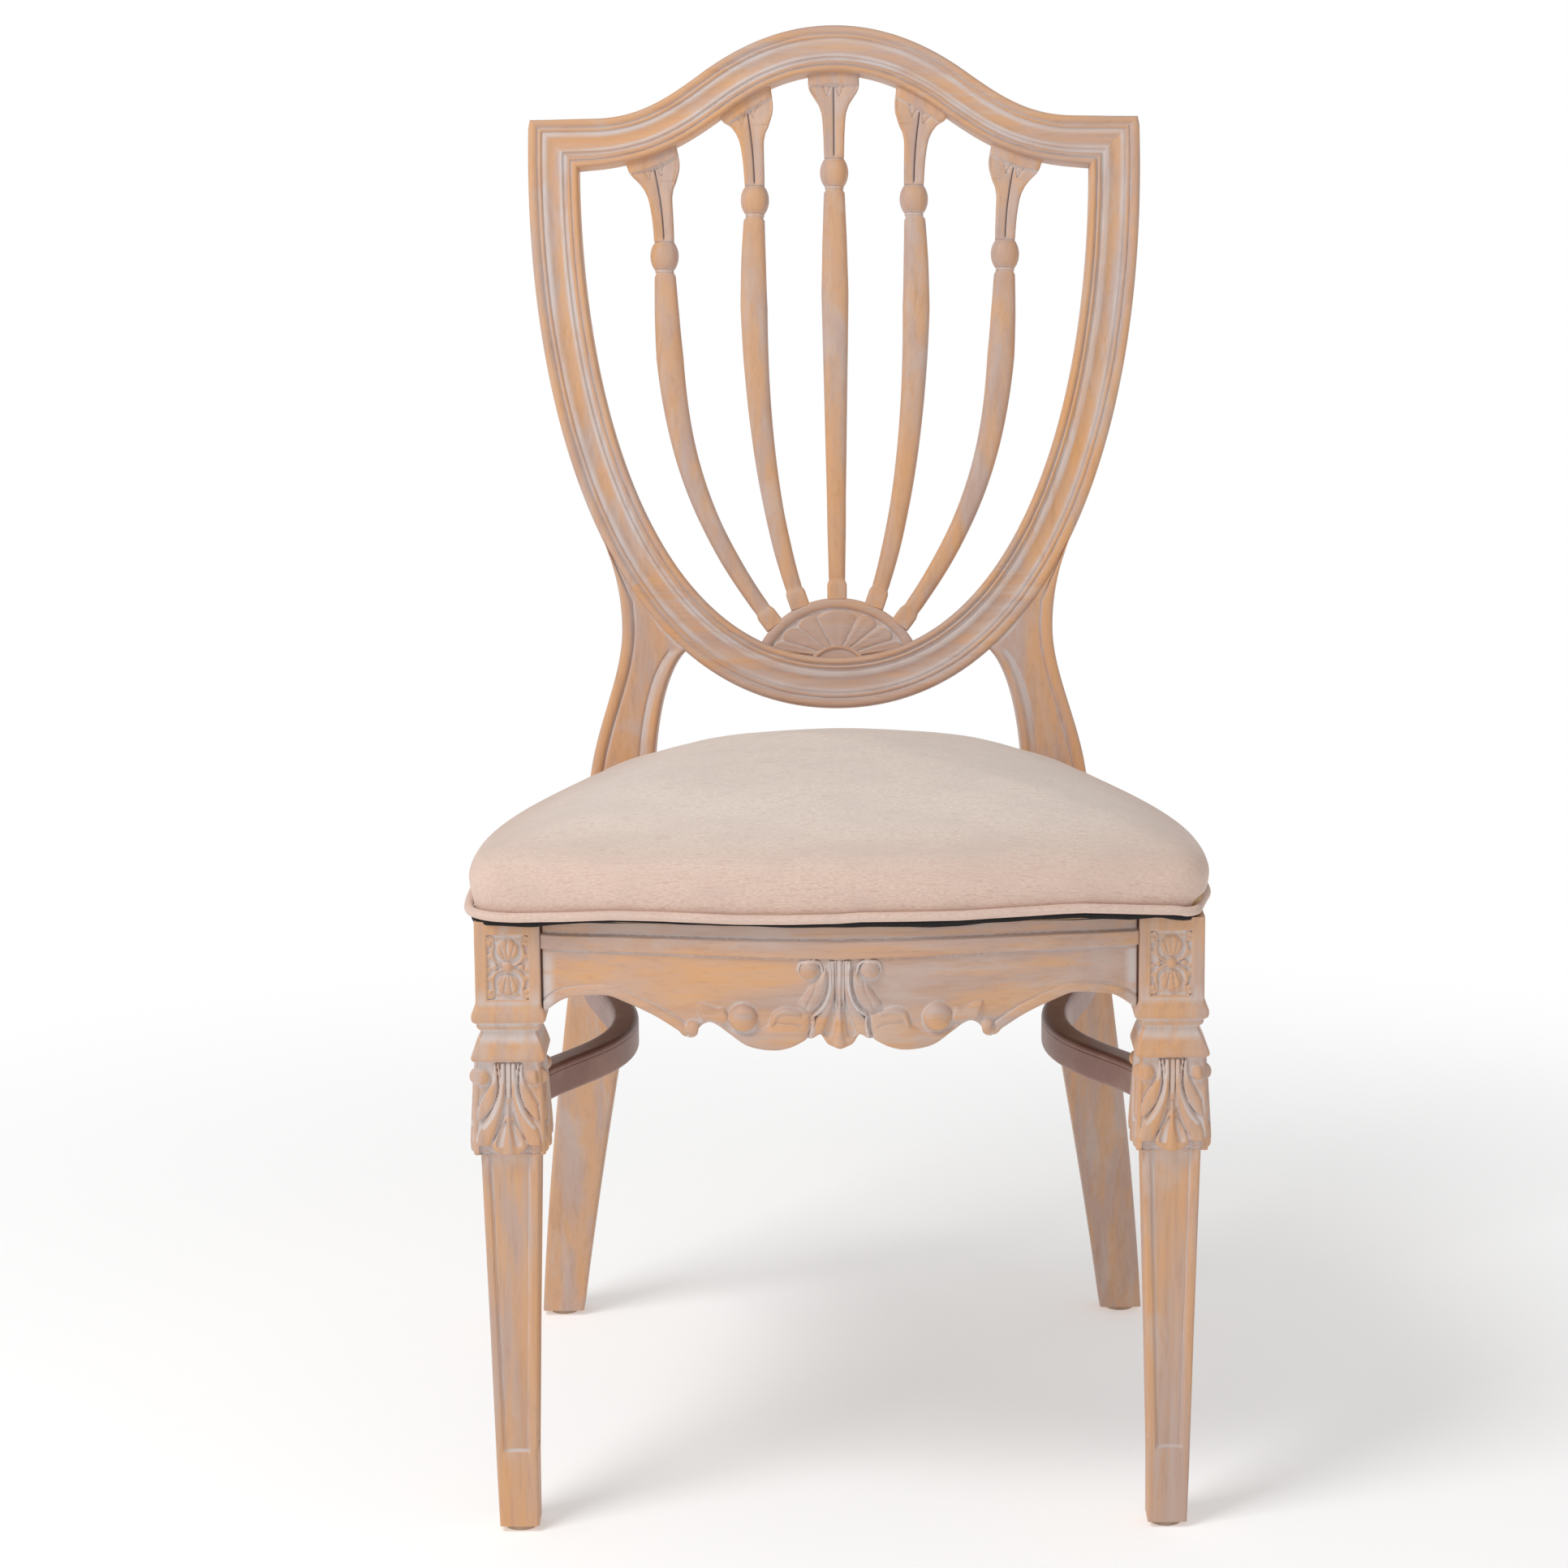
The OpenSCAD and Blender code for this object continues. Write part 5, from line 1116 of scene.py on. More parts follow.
# %% Relief and wash of one face
def face_relief(local, reach, is_front, is_back):
    """Heights and wash over one face; local runs across it, from -reach to reach."""
    in_capital = (z < capital_high) & (z > capital_low)
    covered = step(-0.5, 0.5, z - hangs(local))
    capital_x = local * capital_scale / reach[:, None]
    carved = (1.15 * capital_relief(capital_x, z) - 0.6) * step(capital_high, 328.0, z)
    under = shaft_half[:, None] - half[:, None] + 0.4
    relief = np.where(in_capital, between(under, carved, covered) * step(1.0, 0.93, np.abs(face_t)), 0)
    if is_front:
        relief = relief + np.where(z > block_low, flower_relief(local, z), 0)
    if not is_back:
        open_face = np.where(in_capital, 1 - covered, z < 300)
        relief = relief + shaft_relief(local * (half / reach)[:, None], z) * open_face
    wash = np.where(in_capital, capital_wash(capital_x, z, relief) * covered,
                    read_off(collar_wash, z, 0, 1))
    if is_front:
        in_panel = (np.abs(local) < panel_half_w + 0.1) & (np.abs(z - flower_up) < panel_half_h)
        wash = np.where(in_panel & (z > block_low + 1), low_places(relief, 4, 0.8), wash)
    if not is_back:
        wash = np.maximum(wash, np.where(z < 268, 1.5 * low_places(relief, 3, 0.8), 0))
    return relief, wash


def front_leg_rings():
    """Front, right, back and left face, each followed by its eased corner."""
    splay = 1.0 * step(345, 325, zs) * step(-30, 60, zs)
    rings, shares = [], []
    for c, s in ((1, 0), (0, 1), (-1, 0), (0, -1)):
        reach, out = (half, deep) if c else (deep, half)
        t = face_t[None, :] * (reach - soft)[:, None]
        relief, wash = face_relief((c + s) * t, reach, c == 1, c == -1)
        shares += [wash, np.repeat(wash[:, -1:], 3, 1) * 0.3]
        corner_t = (reach - soft)[:, None] + soft[:, None] * np.sin(corner_turn)
        corner_out = (out - soft)[:, None] + soft[:, None] * np.cos(corner_turn)
        t, out = np.hstack([t, corner_t]), np.hstack([out[:, None] + relief, corner_out])
        x, y = c * t + s * out + (leg_x + splay)[:, None], mid_y[:, None] + s * t - c * out
        rings.append(np.stack([x, y, np.repeat(zs[:, None], x.shape[1], 1)], -1))
    return np.concatenate(rings, 1), np.hstack(shares)


print("The capital runs from", capital_low, "to", capital_high, "mm over the floor")

# %% The two front legs
shape, shares = front_leg_rings()
for hand, side_sign in hands.items():
    leg = washed(skinned(f"front_leg_{hand}_carved", shape * (side_sign, 1, 1), 60), shares)
    fit(leg, "limed_wood", wood_up, f"front_leg_{hand}")

# %% [markdown]
# ## Front apron
# The apron is a bowed board between the front legs. A band runs along its top, a rounded rim follows the
# arches, and the middle is carved: a palm leaf between two scrolls, a padded lobe, a ball, a leaf and a
# knob on each side. A Boolean cut would saw the outline but leave the face flat, so the board is one
# grid of upright slices that follow its lower edge, with the carving as heights.

# %% Lower edge of the apron, as shares of its half length and of its depth
apron_half, apron_r, apron_cy, apron_t, apron_h = 197, 707, 683, 24, 82
arch = [(1.01, 0.79), (0.938, 0.655), (0.888, 0.614), (0.786, 0.588), (0.721, 0.633), (0.621, 0.737),
        (0.538, 0.857)]
knob = [(0.538, 0.857), (0.52, 0.9), (0.497, 0.915), (0.478, 0.89), (0.471, 0.825)]
lobe = [(0.471, 0.825), (0.433, 0.783), (0.38, 0.85), (0.309, 0.964), (0.228, 1), (0.167, 0.977),
        (0.106, 0.903)]
drop = [(0.09, 0.895), (0.065, 0.87), (0.04, 0.95), (0, 0.985)]


def on_apron(shares):
    return smoothed(shares, 10) * (apron_half, -apron_h) + (0, seat_top)


lower = np.vstack([on_apron(part) for part in (arch, knob, lobe, drop)])
lower = lower[lower[:, 0] < apron_half]
lower = lower[np.concatenate([[True], np.diff(lower[:, 0]) < -1e-4])][::-1]
lower = np.vstack([lower, [(apron_half, read_off(lower, apron_half, 0, 1))]])
near_leg, by_leg = 195.3, np.linspace(195.4, apron_half, 12)
stations = spaced(lower, 330)
stations = both_halves(np.vstack([stations[stations[:, 0] < near_leg],
                                  np.column_stack([by_leg, read_off(lower, by_leg, 0, 1)])]))
print("The apron has", len(stations), "slices")

# %% How far the welt and the cloth under it wave up and down along the front, across from the middle
welt_wave = np.array([
    (-241, -0.5), (-224, -1), (-207, -1), (-190, 0), (-178, 0.5), (-162, 1.6), (-146, 2.7), (-114, 2.7),
    (-98, 2.2), (-66, 1.1), (-34, 1.1), (-2, 1.6), (13, 2.7), (77, 2.7), (93, 3.3), (125, 4.4),
    (141, 4.9), (157, 4.9), (173, 3.8), (189, 2.7), (209, 1.1), (217, 0.6), (224, -1.1), (241, -1.4)])
cloth_wave = np.array([
    (-241, -0.5), (-224, -1.1), (-198, -1.4), (-190, 0), (-181, 1.1), (-162, 2.7), (-146, 3.6),
    (-130, 3.6), (-114, 3.3), (-50, 2.2), (-34, 1.1), (29, 1.6), (61, 0.8), (77, 1.1), (93, 2.7),
    (125, 3.8), (157, 3.8), (173, 2.2), (189, 1.1), (209, 1.9), (217, 0), (224, -1.1), (241, -1.4)])


def roof(x):
    """The apron's top edge, which follows the cloth."""
    return seat_top + np.maximum(0, read_off(cloth_wave, x, 0, 1)) * step(196, 186, np.abs(x))


print("The apron's top rises by up to", round(float(roof(welt_wave[:, 0]).max()) - seat_top, 1), "mm")

# %% Lines of the apron's carving
apron_px, band_px, band_z = 1034.7, 1183, 402.9
mm_across, mm_down = 0.5325, 0.548


def px(points):
    """Places read off the photographed apron, as millimetres from its middle and above the floor."""
    return [((x - apron_px) * mm_across, band_z - (y - band_px) * mm_down) for x, y in points]


lobe_edge = px([(998, 1250), (985, 1246), (972, 1242), (958, 1245), (950, 1254), (946, 1264), (932, 1272),
                (915, 1275), (900, 1270), (888, 1264), (900, 1288), (925, 1304), (955, 1308), (980, 1302),
                (995, 1288), (999, 1265)])
lobe_curl = px([(985, 1249.5), (969, 1246.5), (957, 1251), (951, 1262)])
lobe_slit = px([(956, 1260), (968, 1261), (978, 1261.5), (987, 1265)])
scroll = px([(1004, 1208), (1011, 1202), (1017, 1192), (1019.5, 1203), (1019, 1216), (1015, 1229),
             (1009, 1239), (998, 1247.5), (989, 1243), (983.5, 1236.5), (991, 1226), (999, 1214)])
scroll_edge = px([(1017.5, 1186), (1020, 1200), (1020, 1215), (1016.5, 1229), (1011, 1239),
                  (1004, 1245.5), (998, 1249), (990, 1245.5), (983, 1239)])
scroll_fold = px([(1005.5, 1209), (1003, 1222), (996.5, 1233), (993, 1243)])
scroll_arc = px([(984, 1196), (986, 1188), (994, 1184.5), (1004, 1184.5), (1011, 1189), (1014, 1198)])
pale_rib = px([(1022.5, 1186), (1023.5, 1200), (1023, 1216), (1019.5, 1231), (1012, 1243), (1003, 1250.5)])
palm_leaf = px([(1026, 1186), (1026, 1210), (1024, 1230), (1016.5, 1248), (1009.5, 1262), (1004, 1278)])
palm_edge = px([(1027.5, 1236), (1025.5, 1249), (1021.5, 1261), (1015.5, 1270), (1010, 1276)])
crease = px([(998, 1250), (999, 1262), (996.5, 1273), (993.5, 1283)])
crease_rib = px([(1002, 1251), (1002.5, 1262), (998.5, 1279)])
palm_fan = px([(1034.7, 1238), (1034.7, 1253), (1034.7, 1268), (1034.7, 1282), (1034.7, 1291)])
palm_hollow = px([(1028.5, 1243), (1024.5, 1257), (1021, 1272)])
palm_tongue = px([(1034.7, 1230), (1034.7, 1250), (1034.7, 1270), (1034.7, 1283), (1034.7, 1289)])
rib_middle, rib_beside = [(0, 402), (0, 388), (0, 373)], [(-2.7, 402), (-2.6, 385), (-2.2, 371)]
arch_leaf = px([(858, 1237), (868, 1238.5), (882, 1243), (893, 1243), (897, 1251), (897, 1259),
                (888, 1262), (876, 1258), (866, 1258), (861, 1250)])
arch_leaf_top = px([(857, 1236), (868, 1237), (881, 1241.5), (892, 1242.5), (897, 1249)])
arch_leaf_end = px([(857, 1239), (858, 1248), (862, 1257)])
knob_line = px([(847, 1256), (845, 1263), (846, 1271)])
print("The palm leaf hangs", round(seat_top - palm_fan[-1][1], 1), "mm below the apron's top")

# %% The apron's carving: each leaf or rib with its half widths, rise and hollow, each cut with its depth
palm = [(palm_leaf, [1.1, 1.4, 2.1, 3.6, 4.8, 5.4], 3.8, 0.4),
        (palm_fan, [1.5, 5.0, 9.0, 13.5, 12.0], 2.4, 0)]
palm_ribs = [(palm_tongue, [1.2, 1.6, 2.6, 4.8, 5.6], 4.2, 0), (rib_middle, [1.7, 1.7, 1.5], 2.8, 0),
             (rib_beside, [0.8, 0.9, 0.8], 2.4, 0)]
scroll_ribs = [(scroll_arc, [0.8, 1.0, 1.1, 1.1, 1.0, 0.8], 2.4, 0),
               (pale_rib, [0.9, 1.1, 1.2, 1.4, 1.5, 1.1], 4.2, 0), (crease_rib, [0.8, 0.9, 0.8], 4.0, 0)]
scroll_cuts = [(scroll_edge, 0.7, 1.5), (scroll_fold, 0.7, 0.8), (palm_edge, 0.8, 1.4), (crease, 0.7, 2.0)]
arch_cuts = [(arch_leaf_top, 0.7, 1.6), (arch_leaf_end, 0.6, 1.0), (knob_line, 0.7, 1.2)]
scroll_eye, arch_ball, knob_ball = (-19.8, 396.2), (-63.8, 363.7), (-96.8, 355.8)


def apron_carving(left, z):
    """The left half's carving, from the lobe up to the scroll, and out to the knob."""
    h = boss(left, z, lobe_edge, 3.0, 9)
    h = raised(h, left, z, [(lobe_curl, [1.3, 2.6, 2.9, 1.6], 3.3, 0)])
    h = raised(scored(h, left, z, [(lobe_slit, 0.7, 1.1)]), left, z, palm)
    h = raised(h - strand(left, z, palm_hollow, [0.6, 2.4, 3.2], 2.2), left, z, palm_ribs)
    h = raised(np.maximum(h, boss(left, z, scroll, 3.4, 4.5)), left, z, scroll_ribs)
    h = scored(np.maximum(h, ball(left, z, scroll_eye, 6.4, 0.8)), left, z, scroll_cuts)
    h = np.maximum(h, boss(left, z, arch_leaf, 3.0, 3.0))
    h = np.maximum(h, ball(left, z, arch_ball, 9.6, 0.72))
    return scored(np.maximum(h, ball(left, z, knob_ball, 5.6, 0.8)), left, z, arch_cuts)


eye = apron_carving(*(np.full(1, float(at)) for at in scroll_eye))
print("The scroll's eye stands", eye.round(1), "mm high")

# %% Rim, band and open joints
arch_rim = on_apron(arch)


def apron_relief(x, z):
    aside = np.abs(x)
    h = apron_carving(-aside, z)
    # rim along the arch, and the line beside it
    gap, _ = distance_to(aside, z, arch_rim)
    rim = 1.7 * np.clip(1 - ((gap - 2.6) / 4.2)**2, 0, 1)**0.5 * step(6.9, 6.2, gap)
    h = np.maximum(h, rim * step(99, 104, aside))
    firm = np.interp(aside, [95, 120, 150, 175, 196], [1.5, 0.5, 0.15, 0.6, 1.0])
    h = h - firm * np.exp(-((gap - 7.0) / 0.6)**2) * step(94, 98, aside) * (gap > 5)
    # band along the top
    low = np.interp(aside, [0, 71, 108, 146, 184], [402.8, 404.6, 405.4, 405.5, 405.0])
    high = np.interp(aside, [0, 108, 146, 184], [415.4, 416.6, 416.6, 415.6])
    ramp = np.clip(np.minimum(z - low, high - z) / 0.9, 0, 1)
    h = np.where(z > low, 2.2 * np.sqrt(ramp), h)
    h = h - 0.8 * np.exp(-((z - low + 0.5) / 0.6)**2)
    h = np.where(z > high, -0.6 - 0.8 * np.exp(-((z - high - 0.4) / 0.6)**2), h)
    # open joint beside the leg, above and below the band
    joint = -3.5 * np.exp(-((aside - 196.6) / 0.5)**2)
    return h + np.where((z > low - 0.6) & (z < high + 0.4), 0, joint)


def apron_shares(x, z, relief):
    """The grooves and the pale ribs keep the wash, and so does the corner beside the leg."""
    aside = np.abs(x)
    shares = 0.7 * low_places(relief, 4)
    for line in (pale_rib, crease_rib, scroll_arc):
        shares = np.maximum(shares, strand(-aside, z, line, [1.4] * len(line), 1.0))
    shares = np.maximum(shares, 0.7 * step(380, 392, z) * step(403, 401, z) * step(9, 7, aside))
    return np.maximum(shares, 0.8 * step(184, 194, aside) * step(404, 402, z))


middle_top = apron_relief(np.zeros(1), np.full(1, 409.0))
print("The band stands", middle_top.round(1), "mm high")

# %% The apron
rows = np.concatenate([np.linspace(0, 0.04, 4)[:-1], np.linspace(0.04, 1, 96)])
x, low = stations[:, :1], stations[:, 1:]
z, back_z = between(low, roof(x), rows), between(seat_top, low, np.linspace(0, 1, 6))
x, back_x = x + 0 * z, x + 0 * back_z
relief = apron_relief(x, z)
edge_r, edge_reach = 1.6, 1.8
rounding = edge_r * (1 - np.sqrt(np.clip(1 - (1 - np.clip((z - low) / edge_reach, 0, 1))**2, 0, 1)))
front_y = apron_cy - np.sqrt(apron_r**2 - x**2) - relief + rounding
rear_y = apron_cy - np.sqrt((apron_r - apron_t)**2 - back_x**2)
rings = np.hstack([np.stack([x, front_y, z], -1), np.stack([back_x, rear_y, back_z], -1)])
apron_wash = np.hstack([apron_shares(x, z, relief), 0 * back_z])
fit(washed(skinned("front_apron_carved", rings, 60), apron_wash), "limed_wood", wood_across, "front_apron")

# %% [markdown]
# ## Stretchers
# Two bowed stretchers join the front legs to the rear legs, one on each side. They are bent strips with
# eased edges and a fine line under the top edge, painted brown. A bevelled curve twists where it bends
# and has no flat ends for the legs, so the strip's section is set square to its path, ring by ring.

# %% Section of a stretcher
strip_w, strip_low, strip_h, strip_r = 19, 281, 23, 3.4


def strip_section():
    """Points round the section, from its right side over the top: two fine lines, four eased edges."""
    w, h, r = strip_w / 2, strip_h / 2, strip_r
    bend = np.radians(np.linspace(0, 90, 6))
    across, up = w - r + r * np.cos(bend), h - r + r * np.sin(bend)
    fine_line = [(w, h - r - 2.2), (w, h - r - 1.5), (w - 0.4, h - r - 1.0), (w, h - r - 0.5)]
    top = [(x, h) for x in np.linspace(w - r, -w + r, 6)[1:3]]
    right_top = np.vstack([fine_line, np.column_stack([across, up]), top])
    bottom = [(x, -h) for x in np.linspace(-w + r, w - r, 5)[1:-1]]
    return np.vstack([right_top, right_top[::-1] * (-1, 1), [(-w, 0)], np.column_stack([-across, -up]),
                      bottom, np.column_stack([across, -up])[::-1], [(w, 0)]])


section_points = strip_section()
print("The stretcher's section has", len(section_points), "points")

# %% The two stretchers
path = np.vstack([cubic([(213, 46.2), (213, 105.5), (153.5, 130.8), (153.5, 214.9)], 60),
                  cubic([(153.5, 214.9), (153.5, 277.9), (190, 338.7), (190, 440)], 60)[1:]])
into_rear_leg = 413
line = spaced(path[path[:, 1] < into_rear_leg], 90)
ahead = np.gradient(line, axis=0)
right = np.column_stack([ahead[:, 1], -ahead[:, 0]]) / np.linalg.norm(ahead, axis=1)[:, None]
right[0], right[-1] = (1, 0), (1, 0)
xy = line[:, None, :] + right[:, None, :] * section_points[None, :, :1]
z = np.broadcast_to(strip_low + strip_h / 2 + section_points[None, :, 1:], xy.shape[:2] + (1,))
for hand, side_sign in hands.items():
    stretcher = skinned(f"stretcher_{hand}", np.concatenate([xy, z], -1) * (side_sign, 1, 1), 40)
    fit(stretcher, "brown_wood", brown_paint, f"brace_{hand}")

# %% [markdown]
# ## Seat
# The seat is a board with foam under a sewn linen cover. The cover is drawn tight over the crown and
# tucks in behind the piping. A cloth simulation would need a long settling for a cover that hardly
# moves, so its rows are drawn: how far each stands out, its share of the seat's plan, and its height at
# the front and at the back, where the shoulder is lower. Its cloth runs straight across the seat, so the
# threads are laid out by the length of cloth from the middle of the seat.

# %% Plan of the seat, set out by any distance
seat_parts = [([(0, -23.8), (89.1, -23.8), (158.9, -12.8), (214.3, -1.8)], 60),
              ([(214.3, -1.8), (232.4, 1.8), (240.8, 7.7), (240.8, 30.8)], 40),
              ([(240.8, 30.8), (245.6, 151.2), (212.9, 270.6), (190, 370.1)], 60),
              ([(190, 370.1), (187.2, 386), (182.4, 392), (167.2, 392)], 40),
              ([(167.2, 392), (114, 392), (57, 392), (0, 392)], 40)]
seat_middle, around = np.array([0, 184.1]), 360


def seat_line(out):
    parts = [cubic(handles, count, out) for handles, count in seat_parts]
    half = np.vstack([parts[0]] + [part[1:] for part in parts[1:]])
    half[0, 0], half[-1, 0] = 0, 0
    half = spaced(half, around // 2 + 1)
    return np.vstack([half, half[1:-1][::-1] * (-1, 1)])


rim_line = seat_line(0)
backwards = (rim_line[:, 1] + 24) / 416
along_rim = np.roll(rim_line, -1, 0) - np.roll(rim_line, 1, 0)
outward = np.column_stack([along_rim[:, 1], -along_rim[:, 0]]) / np.linalg.norm(along_rim, axis=1)[:, None]
print("The seat's rim is", round(lengths(rim_line)[-1]), "mm long")

# %% How cloth departs from its plan
rng = np.random.default_rng(7)
turn = np.linspace(0, 2 * math.pi, around, endpoint=False)
# at the right corner the cover and its welt are pulled in under the seat
tuck = 6.5 * np.exp(-((rim_line[:, 0] - 241) / 9)**2 - ((rim_line[:, 1] - 20) / 24)**2)


def uneven(waves):
    """A few waves round the seat, because cloth is never quite even."""
    return sum(rng.uniform(0.3, 1) * np.sin(k * turn + rng.uniform(0, 6.3)) for k in waves) / 4


def thread_map(piece, places):
    """The piece's own map, by millimetres of cloth, so that its threads follow it."""
    threads = piece.data.uv_layers.new(name="threads")
    corners = np.empty(len(piece.data.loops), int)
    piece.data.loops.foreach_get("vertex_index", corners)
    threads.data.foreach_set("uv", (places.reshape(-1, 2) * mm)[corners].ravel())


print("The right corner is tucked in by", tuck.max().round(1), "mm")

# %% Rows of the cushion: out, share of the plan, height in front, height at the back
cushion_rows = np.array([
    (-16, 1, 427.2, 427.2), (-4, 1, 427.2, 427.2), (0.2, 1, 428.4, 428.3), (1.3, 1, 431.5, 430.5),
    (1.9, 1, 434.5, 432.6), (3.1, 1, 440, 435.2), (4.1, 1, 446.5, 438.4), (4.4, 1, 452.5, 441),
    (3.4, 0.998, 459, 443.2), (1.5, 0.99, 465.5, 445.3), (1.5, 0.977, 468, 447.6), (1.5, 0.96, 470.3, 449.9),
    (1.5, 0.93, 473, 453.2), (1.5, 0.89, 476.3, 458.2), (1.5, 0.84, 480, 464), (1.5, 0.78, 484.2, 469.9),
    (1.5, 0.7, 489, 476.8), (1.5, 0.6, 494.6, 486), (1.5, 0.5, 499.6, 494.4), (1.5, 0.38, 503.4, 501),
    (1.5, 0.25, 506.4, 505.3), (1.5, 0.13, 509, 508.6), (1.5, 0.05, 510.2, 510.1)])
rings = []
for out, share, front_z, back_z in smoothed(cushion_rows, 4):
    plan = between(seat_middle, seat_line(out), share) - outward * (tuck * step(440, 431, front_z))[:, None]
    rings.append(np.column_stack([plan, between(front_z, back_z, backwards)]))
rings = np.stack(rings)
print("The cushion has", len(rings), "rows")

# %% Pulls along the seam, soft hills, and a crown that is highest in the middle of the back half
near_seam = np.exp(-((rings[:, :, 2] - 436) / 5)**2)
rings[:, :, :2] += near_seam[:, :, None] * (0.5 * uneven((37, 53, 71, 89)))[None, :, None] * outward
# each hill: its height, and how wide it is and where it starts across and along the seat
seat_hills = ((0.7, 61, 1.0, 47, 2.0), (0.5, 33, 4.0, 39, 0.5), (0.35, 21, 2.2, 55, 1.1))
hills = sum(tall * np.sin(rings[:, :, 0] / wide_x + x0) * np.sin(rings[:, :, 1] / wide_y + y0)
            for tall, wide_x, x0, wide_y, y0 in seat_hills)
rings[:, :, 2] += hills * step(470, 490, rings[:, :, 2]) * between(1, 0.4, step(494, 505, rings[:, :, 2]))
x, y, z = np.moveaxis(rings, -1, 0)
crown = 3.0 * np.exp(-(x / 50)**2) - 1.5 * np.exp(-((np.abs(x) - 88) / 32)**2)
rings[:, :, 2] += crown * step(150, 230, y) * step(470, 492, z)
print("The crown lies", rings[:, :, 2].max().round(1), "mm over the floor")

# %% The cushion and its threads
points = np.vstack([rings.reshape(-1, 3), [[0, seat_middle[1], rings[-1, :, 2].mean()]]])
faces = skin(len(rings), around)[:-1]
top_row, top_point = (len(rings) - 1) * around, len(rings) * around
faces += [[top_row + j, top_row + (j + 1) % around, top_point] for j in range(around)]
cushion = solid("seat_cushion", points, faces, 80)
# threads run straight across the crown and straight down over the edge
shoulder_z = 478
over_edge = np.clip(shoulder_z - rings[:, :, 2:], 0, None)
thread_map(cushion, np.vstack([(rings[:, :, :2] + outward * over_edge).reshape(-1, 2), seat_middle[None]]))
fit(cushion, "linen", linen, "seat_cover", "seat_foam")

# %% [markdown]
# ## Piping
# The welt is a cord sewn into a strip of the same linen, round the cover's lower edge. A curve with a
# round bevel would do, but it would need its wobble and its tuck at the right corner set point by point,
# so it is skinned from 14 lines round the seat, each of them the seat's plan set out a little.

# %% Piping
welt_out, welt_r, welt_h, welt_z, welt_lines = 5.05, 3.25, 3.2, 429.6, 14
round_welt = np.linspace(0, 2 * math.pi, welt_lines, endpoint=False)
at_front = step(45, 12, rim_line[:, 1])
welt_lift, cloth_lift = (at_front * read_off(wave, rim_line[:, 0], 0, 1) for wave in (welt_wave, cloth_wave))
wobble = uneven((11, 19, 29, 43))
rings = []
for a in round_welt:
    plan = seat_line(welt_out + welt_r * math.cos(a)) + outward * (0.25 * wobble - tuck)[:, None]
    rings.append(np.column_stack([plan, welt_z + welt_h * math.sin(a) + 0.2 * wobble + welt_lift]))
piping = skinned("seat_piping_cord", np.stack(rings, 1), 80, loop=True)
run = lengths(np.vstack([seat_line(welt_out), seat_line(welt_out)[:1]]))
thread_map(piping, np.stack(np.broadcast_arrays(run[:-1, None], round_welt[None, :] * welt_r), -1))
fit(piping, "linen", linen, "seat_piping")
print("The welt is", round(run[-1]), "mm long")

# %% [markdown]
# ## Black cloth under the seat
# A black cloth closes the seat from below, and its turned edge shows under the welt. A plane with the
# Solidify modifier would be too straight, so its edge is drawn as a few rows that sag and fray a little.

# %% Dust cloth: each row's distance out, height, and share of the fraying, sag, cloth wave and welt wave
cloth_rows = [(-60, 424.15, 0, 0, 0, 0), (-6, 424.15, 0, 0, 0, 0), (0.6, 424.2, 0.4, 0, 1, 0),
              (1.5, 424.0, 1, 1, 1, 0), (2.3, 423.8, 1, 1, 1, 0), (2.8, 424.6, 1, 0.4, 0.5, 0.5),
              (2.2, 426.2, 1, 0, 0, 1), (-6, 425.4, 0.2, 0, 0, 0), (-60, 425.05, 0, 0, 0, 0)]
ragged, (x, y) = uneven((9, 17, 31, 61)), rim_line.T
droop = np.clip(0.3 + 0.4 * ragged + 0.5 * np.exp(-(np.hypot(x + 225, y) / 30)**2), 0, 2)
corners_out = 3.2 * np.exp(-((np.abs(x) - 235) / 9)**2 - ((y - 6) / 14)**2)
rings = []
for out, z, frayed, sag, with_cloth, with_welt in cloth_rows:
    plan = seat_line(out) + outward * (frayed * (0.4 * ragged + corners_out - tuck))[:, None]
    rings.append(np.column_stack([plan, z - sag * droop + with_cloth * cloth_lift + with_welt * welt_lift]))
fit(skinned("dust_cloth", rings, 40), "black_cloth", black_cloth, "dust_cover")

# %% [markdown]
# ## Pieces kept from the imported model
# The rails, blocks, board, glides, screws, dowels and nails are plain, and most of them are hidden, so
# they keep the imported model's shapes. New meshes would say nothing more. They get their finishes here,
# and a Bevel modifier breaks the edges of rails, blocks and glides, as a pass with sandpaper would.

# %% Finishes of the kept pieces
finishes = {
    "side_rail": wood_back, "back_rail": wood_across, "corner_block": raw_wood, "seat_board": board_wood,
    "glide_front": glide_plastic, "glide_rear": glide_plastic, "glide_nails": steel, "seat_screws": steel,
    "block_screws": steel, "brace_dowels": raw_wood, "shield_dowels": raw_wood,
}
eased_pieces = ("side_rail", "back_rail", "glide_front", "glide_rear", "corner_block")
for name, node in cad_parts.items():
    for word, material in finishes.items():
        if name.startswith(word):
            for place in node.material_slots:
                place.material = material
    if name.startswith(eased_pieces):
        edge = node.modifiers.new("eased", "BEVEL")
        edge.width, edge.segments = 0.8 * mm, 2
        edge.limit_method, edge.angle_limit = "ANGLE", math.radians(50)
        print("Eased", name)

# %% [markdown]
# ## Camera, floor and light
# The camera stands where the photographer's did: 2.6 m in front of the legs and a little above the
# shield, looking down by 11 degrees. Its depth of field is off, because the whole chair is sharp.

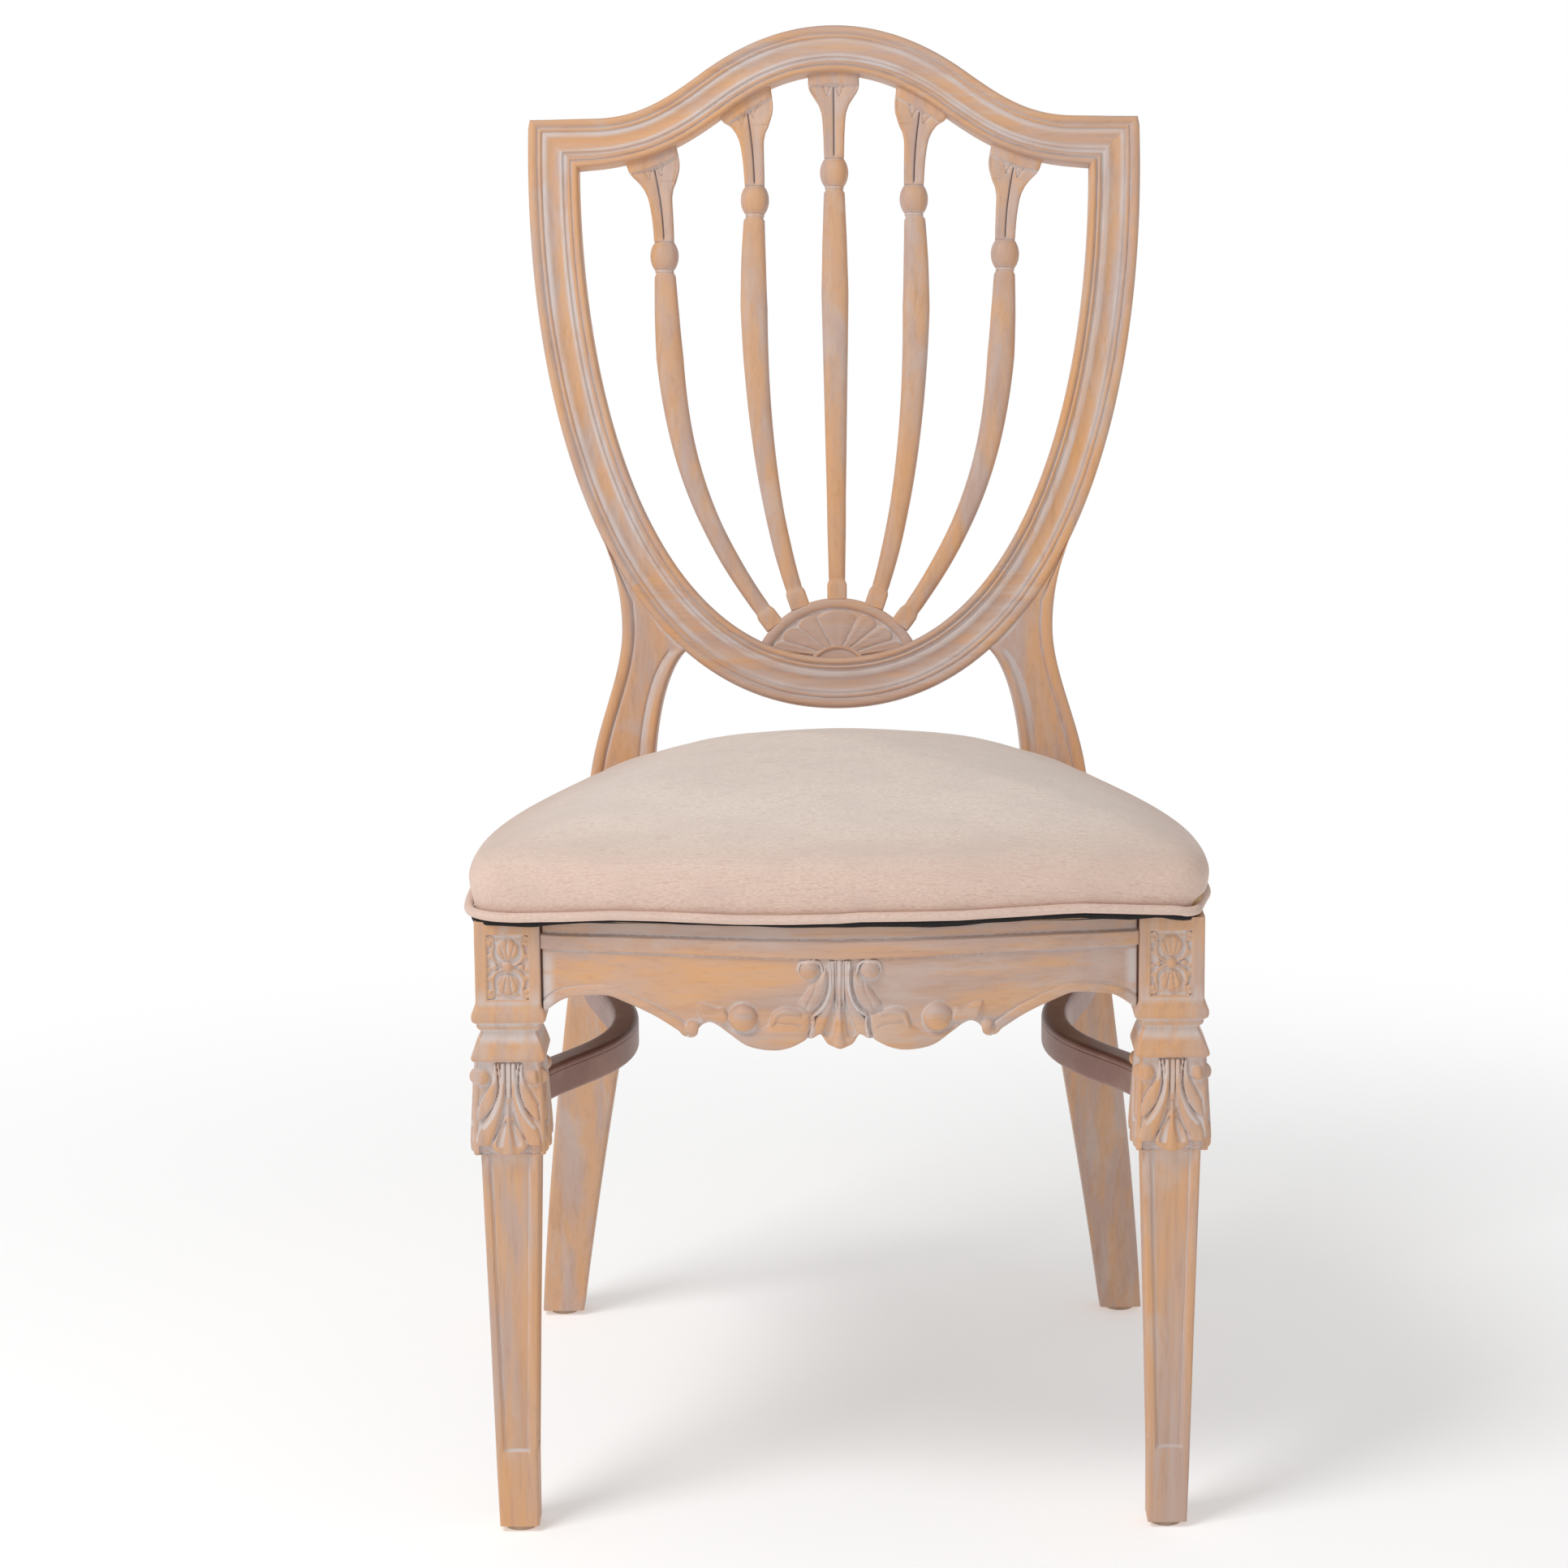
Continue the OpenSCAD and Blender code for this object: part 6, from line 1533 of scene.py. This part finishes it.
# %% Camera
scene = bpy.context.scene
lens = bpy.data.cameras.new("camera")
camera = bpy.data.objects.new("camera", lens)
scene.collection.objects.link(camera)
scene.camera = camera
lens.sensor_width, lens.lens, lens.shift_x, lens.clip_end = 36, 94.57, -0.0347, 50
lens.dof.use_dof = False
camera_y, camera_z, camera_tilt, camera_roll = -2640, 1033, 78.9, -0.4
stand = Matrix.Translation(Vector((0, camera_y - centre_y, camera_z)) * mm)
tilt = Matrix.Rotation(math.radians(camera_tilt), 4, "X")
camera.matrix_world = stand @ tilt @ Matrix.Rotation(math.radians(camera_roll), 4, "Z")
print("The camera is at", [round(v, 3) for v in camera.matrix_world.translation])

# %% [markdown]
# The floor is a white paper that keeps the chair's shadow and fades into the room. A curved backdrop
# would show its bend in a view from above, so a flat floor glows more and more away from the chair.

# %% Floor
bpy.ops.mesh.primitive_plane_add(size=30, location=(0, 0, 0))
floor = bpy.context.object
floor.name = "floor"
paper = Finish("floor_paper", 0.9, 0.1)
paper.set({"Base Color": (0.93, 0.93, 0.93, 1), "Emission Color": (1, 1, 1, 1), "Emission Strength": 0.32})
reach = paper.add("VectorMath", {0: paper.place}, operation="LENGTH").outputs["Value"]
fade = paper.add("MixShader", {0: paper.spread(reach, 0.55, 1.5), 1: paper.shader.outputs[0],
                               2: paper.add("Emission").outputs[0]})
plug(paper.tree, fade.outputs[0], paper.tree.nodes["Material Output"].inputs["Surface"])
floor.data.materials.append(paper.material)
print("The floor is", floor.dimensions.x, "m wide")

# %% [markdown]
# The room is a white studio. It looks white to the camera, and in shine and glass, but lights the chair
# only softly. One large soft lamp on the left gives the shadow, and a small low one opens the legs.

# %% The white room
world = bpy.data.worlds.new("studio")
scene.world = world
world.use_nodes = True
tree = world.node_tree
tree.nodes.clear()
rays = add_node(tree, "LightPath")
seen = rays.outputs["Is Camera Ray"]
for word in ("Is Glossy Ray", "Is Transmission Ray"):
    seen = add_node(tree, "Math", {0: seen, 1: rays.outputs[word]}, operation="MAXIMUM").outputs[0]
room, white = (add_node(tree, "Background", {"Color": (1, 1, 1, 1), "Strength": strength})
               for strength in (0.4, 1.0))
choose = add_node(tree, "MixShader", {0: seen, 1: room.outputs[0], 2: white.outputs[0]})
add_node(tree, "OutputWorld", {"Surface": choose.outputs[0]})
scene.view_settings.view_transform = "Standard"
print("The world has", len(tree.nodes), "nodes")

# %% Lamps
def soft_light(name, place, size, power):
    """A square lamp that looks at the middle of the chair."""
    light = bpy.data.lights.new(name, "AREA")
    light.shape, light.size, light.energy = "SQUARE", size, power
    lamp = bpy.data.objects.new(name, light)
    scene.collection.objects.link(lamp)
    lamp.location = place
    lamp.rotation_euler = (Vector((0, 0, 0.5)) - Vector(place)).to_track_quat("-Z", "Y").to_euler()
    print("Lamp", name, "has", power, "W")


soft_light("key", (-1.5, -1.5, 3.0), 1.2, 45)
soft_light("fill", (-1.3, -1.8, 1.0), 0.9, 5)

# %% [markdown]
